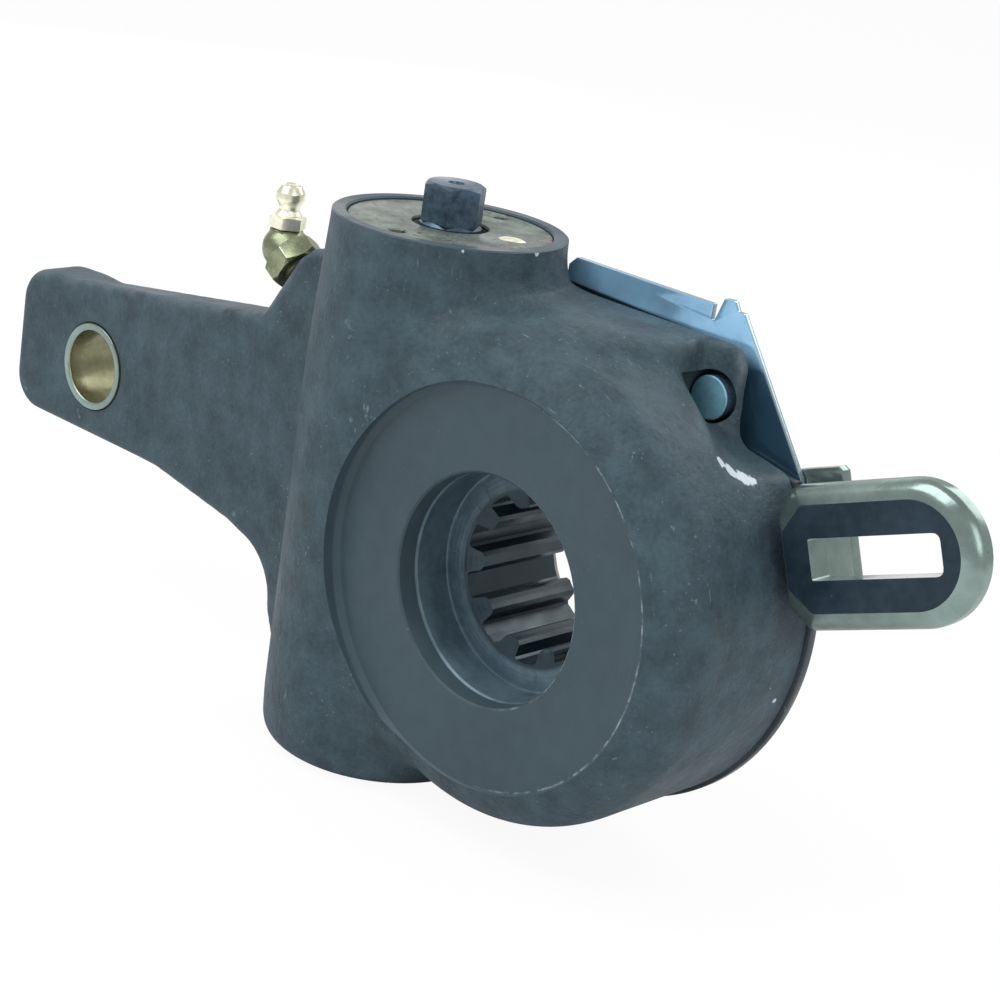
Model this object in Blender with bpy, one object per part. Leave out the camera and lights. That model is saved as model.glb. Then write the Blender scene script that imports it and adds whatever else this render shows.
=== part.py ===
"""Automatic brake slack adjuster, built piece by piece in millimetres.

The origin is the centre of the camshaft bore on the machined boss face.
X runs away from the lever arm, Y runs into the bore, Z runs up the worm shaft.
"""
import math

import bpy
import bmesh
from mathutils import Vector

MM = 0.001
GAP = 0.3
SMOOTH_ANGLE = math.radians(35)
WELD_DISTANCE = 1e-6

# Camshaft boss and drum of the housing
BOSS_RADIUS = 43.4
BOSS_STEP = 2.4
SPOT_FACE_EDGE = 0.4
SPOT_FACE_FLARE = 1.2
CUT_OVERLAP = 1.2
DRUM_RADIUS = 53.0
DRUM_SHOULDER = 12.0
MOUTH_RADIUS = 25.2
LIP_THICKNESS = 5.0
WEB_REACH = 26.0
WEB_FLAT_END = -12.0
WEB_DRAW_BACK = 28.0
WEB_LOW = -52.0
WEB_FULL_LOW = -36.0
WEB_FULL_HIGH = 40.0

# Splined camshaft bore
SPLINE_COUNT = 10
SPLINE_MAJOR_RADIUS = 19.05
SPLINE_MINOR_RADIUS = 15.43
SPLINE_GROOVE_WIDTH = 5.94
SPLINE_PHASE = math.radians(149.75)
COUNTERBORE_RADIUS = 25.0
COUNTERBORE_DEPTH = 9.6

# Worm and worm wheel
WHEEL_TEETH = 24
WORM_MODULE = 3.0
WORM_PITCH_RADIUS = 10.3
WORM_BACKLASH = 0.9
WORM_LENGTH = 34.0
FRONT_HUB_LENGTH = 9.7
WHEEL_WIDTH = 18.0
WHEEL_MAX_RADIUS = 40.2
PRESSURE_ANGLE = math.radians(18)
TOOTH_CLEARANCE = 0.35
WHEEL_FLANK_CURVE = 0.067
GEAR_FLANK_CURVE = 0.23
HUB_WALL = 4.6
REAR_HUB_RADIUS = 24.2
REAR_HUB_PROUD = 1.0

# Worm tower of the housing
TOWER_TOP = 67.1
TOWER_BOTTOM = -59.0
TOWER_TOP_RADIUS = 26.45
TOWER_RADIUS = 28.0
TOWER_TAPER_START = 34.0
CAP_RADIUS = 23.1
CAP_THICKNESS = 9.0
CAP_SINK = 0.6
SPANNER_HOLE_RADIUS = 2.0
SPANNER_HOLE_REACH = 15.1
SPANNER_HOLE_ANGLE = 25.5
SPRING_BORE_RADIUS = 19.0
WORM_BORE_RADIUS = 15.0

# Worm shaft
JOURNAL_RADIUS = 7.0
HEX_ACROSS_FLATS = 12.0
HEX_TOP = 75.8
HEX_FOOT = 66.6
COLLAR_RADIUS = 11.5
COLLAR_TOP = 26.0
COLLAR_THICKNESS = 4.0
WASHER_THICKNESS = 3.0
WASHER_RADIUS = 14.6
SPRING_WIRE = 4.0
SPRING_MEAN_RADIUS = 13.0
SPRING_TURNS = 4.5
SEAL_WALL = 2.4
SEAL_HEIGHT = 4.8
SEAL_SINK = 0.2

# Adjusting train below the worm
GEAR_TEETH = 16
GEAR_MODULE = 1.25
GEAR_BACKLASH = 0.5
GEAR_TOP = -35.3
GEAR_WIDTH = 9.4
HUB_RADIUS = 9.2
GEAR_HUB_LENGTH = 3.4
CLUTCH_TOP = -23.0
CLUTCH_THICKNESS = 5.0
CLUTCH_RADIUS = 13.0
CLUTCH_CONE = 2.2
CLUTCH_WIRE = 1.25
CLUTCH_TURNS = 4
BUSH_LENGTH = 7.0
PLUG_THICKNESS = 4.0

# Rack and control disc
RACK_BACK_DEPTH = 2.4
RACK_LEFT = 11.6
RACK_RIGHT = 2.2
RACK_ROOM_LEFT = 8.0
RACK_ROOM_RIGHT = 3.0
RACK_ROOM_FRONT = 1.2
FINGER_WIDTH = 4.0
FINGER_TIP_RADIUS = 28.5
DISC_RADIUS = 34.0
DISC_CLEARANCE = 1.2
DISC_THICKNESS = 4.4
COVER_CLEARANCE = 4.4
NOTCH_WIDTH = 8.0
NOTCH_RADIUS = 26.8
NOTCH_PITCH_RADIUS = 31.0
SLEEVE_WALL = 3.0
RUNNING_GAP = 0.4
ARM_SWING = math.radians(26)

# Lever arm and clevis bushing
ARM_LENGTH = 155.4
ARM_HOLE_HEIGHT = 2.2
ARM_LEAD = 8.0
ARM_THICKNESS = 14.0
ARM_END_REACH = 31.6
ARM_BELOW = 18.2
ARM_ABOVE = 21.6
ARM_RISE = 0.145
ARM_CORNER = 9.0
ARM_NECK_START = 26.0
ARM_NECK_END = 56.0
ARM_NECK_DROP = 4.6
ARM_FILLET = 15.0
ARM_FILLET_OUT = 22.7
ARM_FILLET_DOWN = 21.0
ARM_ROOT = 13.0
ARM_TOP_ROOT = 8.0
ARM_ROOT_HIGH = 40.0
BUSH_OUTER_RADIUS = 11.2
BUSH_INNER_RADIUS = 9.2
BUSH_PROUD = 0.5

# Rear cover, guard plate and control arm
COVER_THICKNESS = 2.4
COVER_RADIUS = 54.0
COVER_SEAL_WIDTH = 3.0
SCREW_CIRCLE = 48.6
SCREW_ANGLES = (5.0, -42.0, -88.0, 112.0)
SCREW_RADIUS = 2.5
SCREW_HEAD_RADIUS = 4.3
SCREW_HEAD_HEIGHT = 1.9
SCREW_DEPTH = 8.0
COVER_SWEEP = 262.0
COVER_TOP_START = 10.0
COVER_LOBE_INSET = 1.8
EAR_LEFT = -30.0
EAR_ROOT = 20.0
EAR_RIGHT = 26.2
EAR_TOP = 56.5
EAR_CORNER = 5.0
EAR_FOOT_TOP = 40.0
EAR_FOOT_RADIUS = 5.0
EAR_END_ANGLE = 39.0
EAR_THICKNESS = 2.0
POCKET_FRONT = 30.4
POCKET_CREST_X = 17.5
POCKET_SLANT = -0.39
POCKET_DEPTH = 7.4
POCKET_LOW_ANGLE = 37.0
POCKET_FULL_ANGLE = 52.0
POCKET_HIGH_ANGLE = 70.0
EAR_HOLE = (20.1, 44.9)
EAR_SCREW_RADIUS = 5.1
EAR_SCREW_PROUD = 1.1
EAR_SCREW_NECK = 3.2
EAR_SCREW_HEAD_RADIUS = 7.6
EAR_SCREW_HEAD_HEIGHT = 1.9
PLATE_THICKNESS = 1.6
PLATE_TOP = 62.6
PLATE_LEFT = -29.2
PLATE_NOTCH_START = 12.2
PLATE_NOTCH_DEPTH = 3.5
PLATE_TAB_TOP = 64.7
PLATE_TAB = (14.8, 17.4)
PLATE_CORNER = 20.4
PLATE_SIDE_FOOT = (42.3, 32.8)
PLATE_HUB_MARGIN = 6.0
ARM_PLATE_THICKNESS = 3.0
CONTROL_ANGLE = math.radians(21.5)
CONTROL_RING_RADIUS = 37.0
CONTROL_HALF_WIDTH = 15.0
CONTROL_SHOULDER = 17.0
CONTROL_SHOULDER_START = 50.0
CONTROL_BEND = 61.0
BEND_CHAMFER = 1.0
EYE_SETBACK = 20.9
EYE_START = 55.5
EYE_CORNER = 4.0
EYE_THICKNESS = 6.0
EYE_REACH = 102.2
EYE_BEVEL = 4.5
SLOT_START = 63.0
SLOT_END = 94.2
SLOT_HALF_WIDTH = 4.3

# Grease fitting
LUG_ANGLE = math.radians(148)
LUG_FACE = (-89.5, 42.5)
LUG_BELOW = 15.9
LUG_ABOVE = 7.6
LUG_TOP_RUN = 8.5
LUG_ROOT = 12.0
LUG_ROOT_LOW = 20.0
LUG_TOP = 52.4
LUG_HALF_WIDTH = 7.5
LUG_ROUNDING = 2.5
STUD_RADIUS = 4.5
STUD_DEPTH = 8.0
GREASE_DRILL_RADIUS = 1.5
ELBOW_ACROSS_FLATS = 12.5
ELBOW_LENGTH = 5.0
ELBOW_STAND_OFF = 3.0
DOME_RADIUS = 5.6
DOME_SET = 7.0
NIPPLE_X = -98.4
OUTLET_RADIUS = 4.0
OUTLET_LENGTH = 7.0
OUTLET_TOP = 52.4
NIPPLE_ACROSS_FLATS = 7.9
NIPPLE_COLLAR = 3.0

# Places that follow from the sizes above
WHEEL_PITCH_RADIUS = WHEEL_TEETH * WORM_MODULE / 2
WORM_X = -(WHEEL_PITCH_RADIUS + WORM_PITCH_RADIUS)
WORM_LEAD = math.pi * WORM_MODULE
WORM_TIP_RADIUS = WORM_PITCH_RADIUS + WORM_MODULE
WORM_ROOT_RADIUS = WORM_PITCH_RADIUS - WORM_MODULE - TOOTH_CLEARANCE
HUB_RADIUS_FRONT = COUNTERBORE_RADIUS + HUB_WALL
HUB_BORE_RADIUS = HUB_RADIUS_FRONT + GAP
CAVITY_RADIUS = WHEEL_MAX_RADIUS + 0.8
HUB_FRONT = LIP_THICKNESS + GAP
COUNTERBORE_FLOOR = HUB_FRONT + COUNTERBORE_DEPTH
WHEEL_FRONT = HUB_FRONT + FRONT_HUB_LENGTH
WHEEL_BACK = WHEEL_FRONT + WHEEL_WIDTH
TOWER_AXIS_DEPTH = (WHEEL_FRONT + WHEEL_BACK) / 2
LUG_DEPTH = TOWER_AXIS_DEPTH
DISC_FRONT = WHEEL_BACK + DISC_CLEARANCE
DISC_BACK = DISC_FRONT + DISC_THICKNESS
HOUSING_DEPTH = DISC_BACK + COVER_CLEARANCE
EAR_FRONT = HOUSING_DEPTH - EAR_THICKNESS
GEAR_PITCH_RADIUS = GEAR_TEETH * GEAR_MODULE / 2
GEAR_BOTTOM = GEAR_TOP - GEAR_WIDTH
RACK_PITCH_Y = TOWER_AXIS_DEPTH + GEAR_PITCH_RADIUS
RACK_BACK = RACK_PITCH_Y + GEAR_MODULE * 1.25 + RACK_BACK_DEPTH
SLEEVE_INNER = REAR_HUB_RADIUS + RUNNING_GAP
SLEEVE_OUTER = SLEEVE_INNER + SLEEVE_WALL
COVER_FRONT = HOUSING_DEPTH + GAP
COVER_BACK = COVER_FRONT + COVER_THICKNESS
SEAL_OUTER = SLEEVE_OUTER + GAP + COVER_SEAL_WIDTH
PLATE_FRONT = COVER_BACK + GAP
PLATE_BACK = PLATE_FRONT + PLATE_THICKNESS
CONTROL_FRONT = PLATE_BACK + GAP
CONTROL_BACK = CONTROL_FRONT + ARM_PLATE_THICKNESS
EYE_FRONT = CONTROL_BACK - EYE_SETBACK
ARM_FRONT = TOWER_AXIS_DEPTH - ARM_LEAD
ARM_BACK = ARM_FRONT + ARM_THICKNESS
CAP_TOP = TOWER_TOP - CAP_SINK
CAP_BOTTOM = CAP_TOP - CAP_THICKNESS
WASHER_BOTTOM = COLLAR_TOP + GAP
WASHER_TOP = WASHER_BOTTOM + WASHER_THICKNESS
CLUTCH_BOTTOM = CLUTCH_TOP - CLUTCH_THICKNESS
BUSH_TOP = GEAR_BOTTOM - GAP
BUSH_BOTTOM = BUSH_TOP - BUSH_LENGTH
HEX_RADIUS = HEX_ACROSS_FLATS / math.sqrt(3)
NIPPLE_RADIUS = NIPPLE_ACROSS_FLATS / math.sqrt(3)
WORM_AXIS = (WORM_X, TOWER_AXIS_DEPTH)


def clear_scene():
    """Removes what a new file holds."""
    for item in list(bpy.data.objects):
        bpy.data.objects.remove(item, do_unlink=True)


def make_material(name, colour, metallic, roughness):
    """One Principled material for a node."""
    material = bpy.data.materials.new(name)
    material.use_nodes = True
    shader = material.node_tree.nodes["Principled BSDF"]
    shader.inputs["Base Color"].default_value = (*colour, 1.0)
    shader.inputs["Metallic"].default_value = metallic
    shader.inputs["Roughness"].default_value = roughness
    return material


def spot(axis, across, up, along):
    """A point from two cross coordinates and one along the named axis."""
    if axis == "y":
        return (across, along, up)
    return (across, up, along)


def metres(point):
    """A point in metres from one in millimetres."""
    return Vector(point) * MM


def new_object(name, work):
    """A linked object from a bmesh, with its faces pointing out."""
    bmesh.ops.remove_doubles(work, verts=work.verts, dist=WELD_DISTANCE)
    bmesh.ops.recalc_face_normals(work, faces=work.faces)
    mesh = bpy.data.meshes.new(name)
    work.to_mesh(mesh)
    work.free()
    item = bpy.data.objects.new(name, mesh)
    bpy.context.scene.collection.objects.link(item)
    return item


def revolve(name, profile, axis="y", centre=(0.0, 0.0), segments=48):
    """Spins a closed profile of (radius, along) pairs about an axis."""
    work = bmesh.new()
    line = [work.verts.new(metres(spot(axis, centre[0] + radius, centre[1], along))) for radius, along in profile]
    edges = []
    for index, (radius, along) in enumerate(profile):
        after = (index + 1) % len(profile)
        if radius > 0.0 or profile[after][0] > 0.0:
            edges.append(work.edges.new((line[index], line[after])))
    bmesh.ops.spin(work, geom=line + edges, cent=metres(spot(axis, centre[0], centre[1], 0.0)),
                   axis=spot(axis, 0.0, 0.0, 1.0), angle=2 * math.pi, steps=segments, use_merge=True)
    return new_object(name, work)


def prism(name, outline, low, high, axis="y"):
    """Extrudes a flat outline between two depths."""
    work = bmesh.new()
    face = work.faces.new([work.verts.new(metres(spot(axis, a, b, low))) for a, b in outline])
    grown = bmesh.ops.extrude_face_region(work, geom=[face])["geom"]
    moved = [part for part in grown if isinstance(part, bmesh.types.BMVert)]
    bmesh.ops.translate(work, verts=moved, vec=metres(spot(axis, 0.0, 0.0, high - low)))
    return new_object(name, work)


def loft(name, sections):
    """A closed solid through loops that have the same number of points."""
    work = bmesh.new()
    loops = [[work.verts.new(metres(point)) for point in section] for section in sections]
    work.faces.new(loops[0])
    work.faces.new(loops[-1])
    size = len(loops[0])
    for near, far in zip(loops, loops[1:]):
        for step in range(size):
            after = (step + 1) % size
            work.faces.new((near[step], near[after], far[after], far[step]))
    return new_object(name, work)


def ring(name, inner, outer, low, high, axis="y", centre=(0.0, 0.0), segments=48):
    """A plain ring of rectangular section."""
    profile = [(inner, low), (outer, low), (outer, high), (inner, high)]
    return revolve(name, profile, axis, centre, segments)


def disc(name, radius, low, high, axis="y", centre=(0.0, 0.0), segments=48):
    """A plain solid cylinder."""
    profile = [(0.0, low), (radius, low), (radius, high), (0.0, high)]
    return revolve(name, profile, axis, centre, segments)


def combine(target, other, operation):
    """Adds or cuts one solid and removes the tool."""
    step = target.modifiers.new("combine", "BOOLEAN")
    step.operation = operation
    step.solver = "EXACT"
    step.object = other
    graph = bpy.context.evaluated_depsgraph_get()
    mesh = bpy.data.meshes.new_from_object(target.evaluated_get(graph))
    target.modifiers.clear()
    target.data = mesh
    bpy.data.objects.remove(other, do_unlink=True)
    work = bmesh.new()
    work.from_mesh(mesh)
    bmesh.ops.remove_doubles(work, verts=work.verts, dist=WELD_DISTANCE)
    bmesh.ops.dissolve_degenerate(work, edges=work.edges, dist=WELD_DISTANCE)
    work.to_mesh(mesh)
    work.free()
    return target


def join_all(target, others):
    """Adds several solids to one."""
    for other in others:
        combine(target, other, "UNION")
    return target


def cut_all(target, others):
    """Cuts several solids from one."""
    for other in others:
        combine(target, other, "DIFFERENCE")
    return target


def arc(centre, radius, start, end, count):
    """Points on a round stretch, angles in degrees."""
    points = []
    for step in range(count + 1):
        turn = math.radians(start + (end - start) * step / count)
        points.append((centre[0] + radius * math.cos(turn), centre[1] + radius * math.sin(turn)))
    return points


def turned(points, angle):
    """Turns flat points about the camshaft axis."""
    cosine = math.cos(angle)
    sine = math.sin(angle)
    return [(a * cosine - b * sine, a * sine + b * cosine) for a, b in points]


def finish(item, colour, metallic=0.7, roughness=0.5, origin=(0.0, 0.0, 0.0)):
    """Sets the origin, the shading and the material of a node."""
    for vertex in item.data.vertices:
        for axis in range(3):
            vertex.co[axis] -= origin[axis] * MM
    item.location = [value * MM for value in origin]
    item.data.materials.clear()
    item.data.materials.append(make_material(item.name + "_material", colour, metallic, roughness))
    item.data.polygons.foreach_set("use_smooth", [True] * len(item.data.polygons))
    item.data.set_sharp_from_angle(angle=SMOOTH_ANGLE)
    return item


PHOSPHATE = (0.075, 0.09, 0.105)
BLUE_ZINC = (0.33, 0.42, 0.48)
PALE_ZINC = (0.52, 0.56, 0.50)
YELLOW_ZINC = (0.55, 0.52, 0.28)
BARE_STEEL = (0.42, 0.41, 0.38)
DARK_STEEL = (0.05, 0.055, 0.06)
RUBBER = (0.02, 0.02, 0.02)


def drum_form():
    """Round body about the camshaft bore, with a rounded front shoulder."""
    profile = [(0.0, -CUT_OVERLAP), (BOSS_RADIUS - 0.5, -CUT_OVERLAP), (BOSS_RADIUS, 0.0)]
    for step in range(1, 6):
        turn = math.radians(18 * step)
        radius = BOSS_RADIUS + (DRUM_RADIUS - BOSS_RADIUS) * math.sin(turn)
        profile.append((radius, DRUM_SHOULDER * (1 - math.cos(turn))))
    back = HOUSING_DEPTH + CUT_OVERLAP
    profile += [(DRUM_RADIUS, back), (0.0, back)]
    return revolve("housing", profile, "y", segments=64)


def tower_form():
    """Tapered tower round the worm shaft, with a rounded foot."""
    foot = TOWER_BOTTOM
    profile = [(0.0, foot), (TOWER_RADIUS - 6.0, foot), (TOWER_RADIUS - 2.4, foot + 1.8)]
    profile += [(TOWER_RADIUS - 0.6, foot + 5.0), (TOWER_RADIUS, foot + 9.0)]
    profile += [(TOWER_RADIUS, TOWER_TAPER_START), (TOWER_TOP_RADIUS, TOWER_TOP), (0.0, TOWER_TOP)]
    return revolve("tower", profile, "z", WORM_AXIS, 48)


def web_form():
    """Forged web that ties the tower to the drum, drawn back at its ends."""
    back = HOUSING_DEPTH + CUT_OVERLAP * 1.5

    def section(height, inset, narrower, draw):
        front = inset - BOSS_STEP
        reach = WEB_REACH - narrower
        line = [(WORM_X, front)]
        for step in range(5):
            turn = math.pi / 2 * step / 4
            across = WEB_FLAT_END + (reach - WEB_FLAT_END) * math.sin(turn)
            line.append((across, front + draw * (1 - math.cos(turn))))
        line += [(reach, back), (WORM_X, back)]
        return [(across, depth, height) for across, depth in line]

    full = WEB_DRAW_BACK
    levels = [(WEB_LOW, 12.0, 6.0, full - 6.0), (WEB_LOW + 7.0, 4.0, 2.0, full - 2.0)]
    levels += [(WEB_FULL_LOW, 0.0, 0.0, full), (WEB_FULL_HIGH, 0.0, 0.0, full)]
    levels += [(EAR_TOP - 7.0, 4.0, 8.5, full + 8.0), (EAR_TOP - 1.5, 12.0, 9.0, full), (EAR_TOP, 20.0, 10.0, full - 8.0)]
    return loft("web", [section(*level) for level in levels])


def ear_outline():
    """Rear flange with the ear that takes the long screw."""
    line = [(EAR_LEFT, EAR_ROOT), (EAR_LEFT, EAR_TOP)] + ear_side(0.0)
    line += arc((0.0, 0.0), DRUM_RADIUS - 0.2, EAR_END_ANGLE, EAR_END_ANGLE - 4.0, 1)
    line += [(-EAR_LEFT, 0.0)]
    return line


def ear_side(inset):
    """Right side of the ear with its corner and hollow foot, drawn in by an inset."""
    right = EAR_RIGHT - inset
    top = EAR_TOP - inset
    line = arc((right - EAR_CORNER, top - EAR_CORNER), EAR_CORNER, 90, 0, 3)
    return line + arc((right + EAR_FOOT_RADIUS, EAR_FOOT_TOP), EAR_FOOT_RADIUS, 180, 270, 4)


def arm_outline():
    """Lever arm seen from the front, running into the tower."""
    hole_x = -ARM_LENGTH
    end = hole_x - ARM_END_REACH
    low = ARM_HOLE_HEIGHT - ARM_BELOW
    high = ARM_HOLE_HEIGHT + ARM_ABOVE
    top_at_end = high - ARM_RISE * (ARM_END_REACH - ARM_CORNER)
    root = WORM_X - TOWER_RADIUS
    line = arc((end + ARM_CORNER, low + ARM_CORNER), ARM_CORNER, 180, 270, 5)
    line += [(hole_x + ARM_NECK_START, low), (hole_x + ARM_NECK_END, low - ARM_NECK_DROP)]
    line += arc((root - ARM_FILLET_OUT, low - ARM_FILLET_DOWN), ARM_FILLET, 80, 0, 5)
    line += [(root - 3.5, low - ARM_FILLET_DOWN - 10.0), (root + ARM_ROOT, low - ARM_FILLET_DOWN - 20.0)]
    line += [(root + ARM_ROOT, ARM_ROOT_HIGH)]
    line += [(root - ARM_TOP_ROOT, high + ARM_RISE * (root - ARM_TOP_ROOT - hole_x))]
    line += arc((end + ARM_CORNER, top_at_end - ARM_CORNER), ARM_CORNER, 98, 180, 5)
    return line


def lug_point(reach, side=0.0):
    """A flat point on the grease fitting's slanted axis, or beside it."""
    run = (math.cos(LUG_ANGLE), math.sin(LUG_ANGLE))
    return (LUG_FACE[0] + run[0] * reach - run[1] * side, LUG_FACE[1] + run[1] * reach + run[0] * side)


def lug_turning(name, stages, segments):
    """A solid turned about the fitting's slanted axis from (reach, radius) pairs."""
    sections = []
    for reach, radius in stages:
        loop = []
        for step in range(segments):
            turn = 2 * math.pi * step / segments
            across, up = lug_point(reach, radius * math.cos(turn))
            loop.append((across, LUG_DEPTH + radius * math.sin(turn), up))
        sections.append(loop)
    return loft(name, sections)


def lug_form():
    """Forged lug between the arm and the tower that takes the grease fitting."""
    half = LUG_HALF_WIDTH
    sections = []
    for inset, depth in ((LUG_ROUNDING, -half), (0.0, LUG_ROUNDING - half), (0.0, half - LUG_ROUNDING),
                         (LUG_ROUNDING, half)):
        face = -inset * 0.3
        top = LUG_TOP - inset
        line = [lug_point(face, LUG_BELOW), lug_point(face, inset - LUG_ABOVE), (LUG_FACE[0] + LUG_TOP_RUN, top)]
        line += [(WORM_X - LUG_ROOT, top), (WORM_X - LUG_ROOT, LUG_ROOT_LOW), lug_point(-6.0, LUG_BELOW + 8.0)]
        sections.append([(across, LUG_DEPTH + depth, up) for across, up in line])
    return loft("lug", sections)


def housing_cutters():
    """Everything that is machined or cored out of the forging."""
    high = -BOSS_STEP - 6.0
    edge = BOSS_RADIUS + SPOT_FACE_EDGE
    flare = edge + SPOT_FACE_FLARE
    spot_face = [(0.0, high), (flare, high), (flare, -BOSS_STEP * 0.5), (edge, 0.0), (0.0, 0.0)]
    bore = [(0.0, -1.0), (MOUTH_RADIUS, -1.0), (MOUTH_RADIUS, LIP_THICKNESS)]
    bore += [(HUB_BORE_RADIUS, LIP_THICKNESS), (HUB_BORE_RADIUS, WHEEL_FRONT - 2.0)]
    bore += [(CAVITY_RADIUS, WHEEL_FRONT - 2.0), (CAVITY_RADIUS, HOUSING_DEPTH + 1.0), (0.0, HOUSING_DEPTH + 1.0)]
    top = TOWER_TOP + 1.0
    seat = CAP_RADIUS + GAP
    ledge = CAP_BOTTOM - GAP
    spring_floor = WASHER_TOP + 0.6
    shaft = [(0.0, TOWER_BOTTOM - 1.0), (WORM_BORE_RADIUS, TOWER_BOTTOM - 1.0), (WORM_BORE_RADIUS, spring_floor)]
    shaft += [(SPRING_BORE_RADIUS, spring_floor), (SPRING_BORE_RADIUS, ledge), (seat, ledge), (seat, top), (0.0, top)]
    cutters = [
        revolve("spot_face", spot_face, "y", segments=64),
        rear_face(),
        revolve("wheel_room", bore, "y", segments=40),
        revolve("shaft_room", shaft, "z", WORM_AXIS, 32),
        rack_room(),
        disc("arm_hole", BUSH_OUTER_RADIUS + GAP, ARM_FRONT - 5.0, ARM_BACK + 5.0,
             centre=(-ARM_LENGTH, ARM_HOLE_HEIGHT), segments=32),
        disc("ear_hole", EAR_SCREW_RADIUS + GAP, EAR_FRONT - EAR_SCREW_PROUD - GAP, HOUSING_DEPTH + 1.0,
             centre=EAR_HOLE, segments=24),
        ear_pocket(),
        ear_flank(),
        lug_hole(),
    ]
    for angle in SCREW_ANGLES:
        cutters.append(disc("screw_hole", SCREW_RADIUS + GAP, HOUSING_DEPTH - SCREW_DEPTH - 0.5,
                            HOUSING_DEPTH + 1.0, centre=screw_centre(angle), segments=12))
    return cutters


def rear_face():
    """Machined rear face, round with a corner at the ear."""
    reach = COVER_RADIUS + 0.7
    left = WORM_X + 16.0
    start = math.degrees(math.acos(left / reach))
    outline = arc((0.0, 0.0), reach, start, 360, 48) + [(reach, EAR_TOP + 6.0), (left, EAR_TOP + 6.0)]
    return prism("rear_face", outline, HOUSING_DEPTH, HOUSING_DEPTH + TOWER_RADIUS)


def rack_room():
    """Closed channel in which the rack slides."""
    low = GEAR_BOTTOM - GAP
    high = GEAR_TOP + GAP
    left = WORM_X - RACK_LEFT - RACK_ROOM_LEFT
    right = NOTCH_PITCH_RADIUS * ARM_SWING + RACK_RIGHT + RACK_ROOM_RIGHT
    front = RACK_PITCH_Y - GEAR_MODULE - RACK_ROOM_FRONT
    outline = [(left, low), (right, low), (right, high), (left, high)]
    return prism("rack_room", outline, front, RACK_BACK + GAP)


def ear_pocket():
    """Scoop in front of the ear, whose front edge slants over the drum."""
    outside = DRUM_RADIUS + GAP
    right = outside + EAR_FOOT_RADIUS
    high = EAR_TOP + CUT_OVERLAP
    sections = []
    for share, sink in ((0.0, 0.0), (0.5, 0.65), (1.0, 1.0)):
        line = []
        for step in range(10):
            angle = POCKET_LOW_ANGLE + (POCKET_HIGH_ANGLE - POCKET_LOW_ANGLE) * step / 9
            rise = min(1.0, (angle - POCKET_LOW_ANGLE) / (POCKET_FULL_ANGLE - POCKET_LOW_ANGLE))
            floor = outside - POCKET_DEPTH * sink * math.sin(rise * math.pi / 2) ** 2
            line += arc((0.0, 0.0), floor, angle, angle, 1)[:1]
        end = line[-1][0]
        line += [(end + 0.5, high), (right, high), (right, line[0][1])]
        loop = []
        for across, up in line:
            front = POCKET_FRONT + (across - POCKET_CREST_X) * POCKET_SLANT
            loop.append((across, front + (EAR_FRONT - front) * share, up))
        sections.append(loop)
    return loft("ear_pocket", sections)


def ear_flank():
    """Room beside the ear's right side, out to the drum's rim."""
    far = DRUM_RADIUS + EAR_FOOT_RADIUS
    outline = arc((EAR_RIGHT + EAR_FOOT_RADIUS, EAR_FOOT_TOP), EAR_FOOT_RADIUS, 180, 270, 4)
    outline += arc((0.0, 0.0), DRUM_RADIUS + GAP, EAR_END_ANGLE, EAR_END_ANGLE, 1)[:1]
    outline += [(far, EAR_FOOT_TOP), (far, EAR_TOP), (EAR_RIGHT, EAR_TOP)]
    return prism("ear_flank", outline, EAR_FRONT - GAP, HOUSING_DEPTH + CUT_OVERLAP)


def lug_hole():
    """Drilling for the grease fitting's stud, with the grease passage to the worm."""
    hole = STUD_RADIUS + GAP
    floor = -STUD_DEPTH - 1.0
    stages = [(-36.0, GREASE_DRILL_RADIUS), (floor - 2.0, GREASE_DRILL_RADIUS), (floor, hole), (3.0, hole)]
    return lug_turning("lug_hole", stages, 12)


def make_housing():
    """Forged housing with the lever arm, tower, drum, web, ear and grease lug."""
    body = drum_form()
    parts = [
        web_form(),
        tower_form(),
        prism("arm", arm_outline(), ARM_FRONT, ARM_BACK),
        prism("ear", ear_outline(), HOUSING_DEPTH - EAR_THICKNESS, HOUSING_DEPTH + CUT_OVERLAP * 2),
        lug_form(),
    ]
    join_all(body, parts)
    cut_all(body, housing_cutters())
    return finish(body, PHOSPHATE, 0.35, 0.6)


def make_clevis_bushing():
    """Pressed bushing for the push rod's clevis pin."""
    low = ARM_FRONT - BUSH_PROUD
    high = ARM_BACK + BUSH_PROUD
    edge = 0.6
    profile = [(BUSH_INNER_RADIUS + edge, low), (BUSH_OUTER_RADIUS, low), (BUSH_OUTER_RADIUS, high)]
    profile += [(BUSH_INNER_RADIUS + edge, high), (BUSH_INNER_RADIUS, high - edge), (BUSH_INNER_RADIUS, low + edge)]
    item = revolve("clevis_bushing", profile, "y", (-ARM_LENGTH, ARM_HOLE_HEIGHT), 32)
    return finish(item, PALE_ZINC, 0.8, 0.35)


def tooth_gap(radius, pitch_radius, half_gap, curve=WHEEL_FLANK_CURVE):
    """Half the angle of a gap with curved flanks, at one radius."""
    rise = radius - pitch_radius
    bend = curve * rise * rise * (1.0 if rise > 0 else 0.45)
    return (half_gap + rise * math.tan(PRESSURE_ANGLE) + bend) / radius


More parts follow.
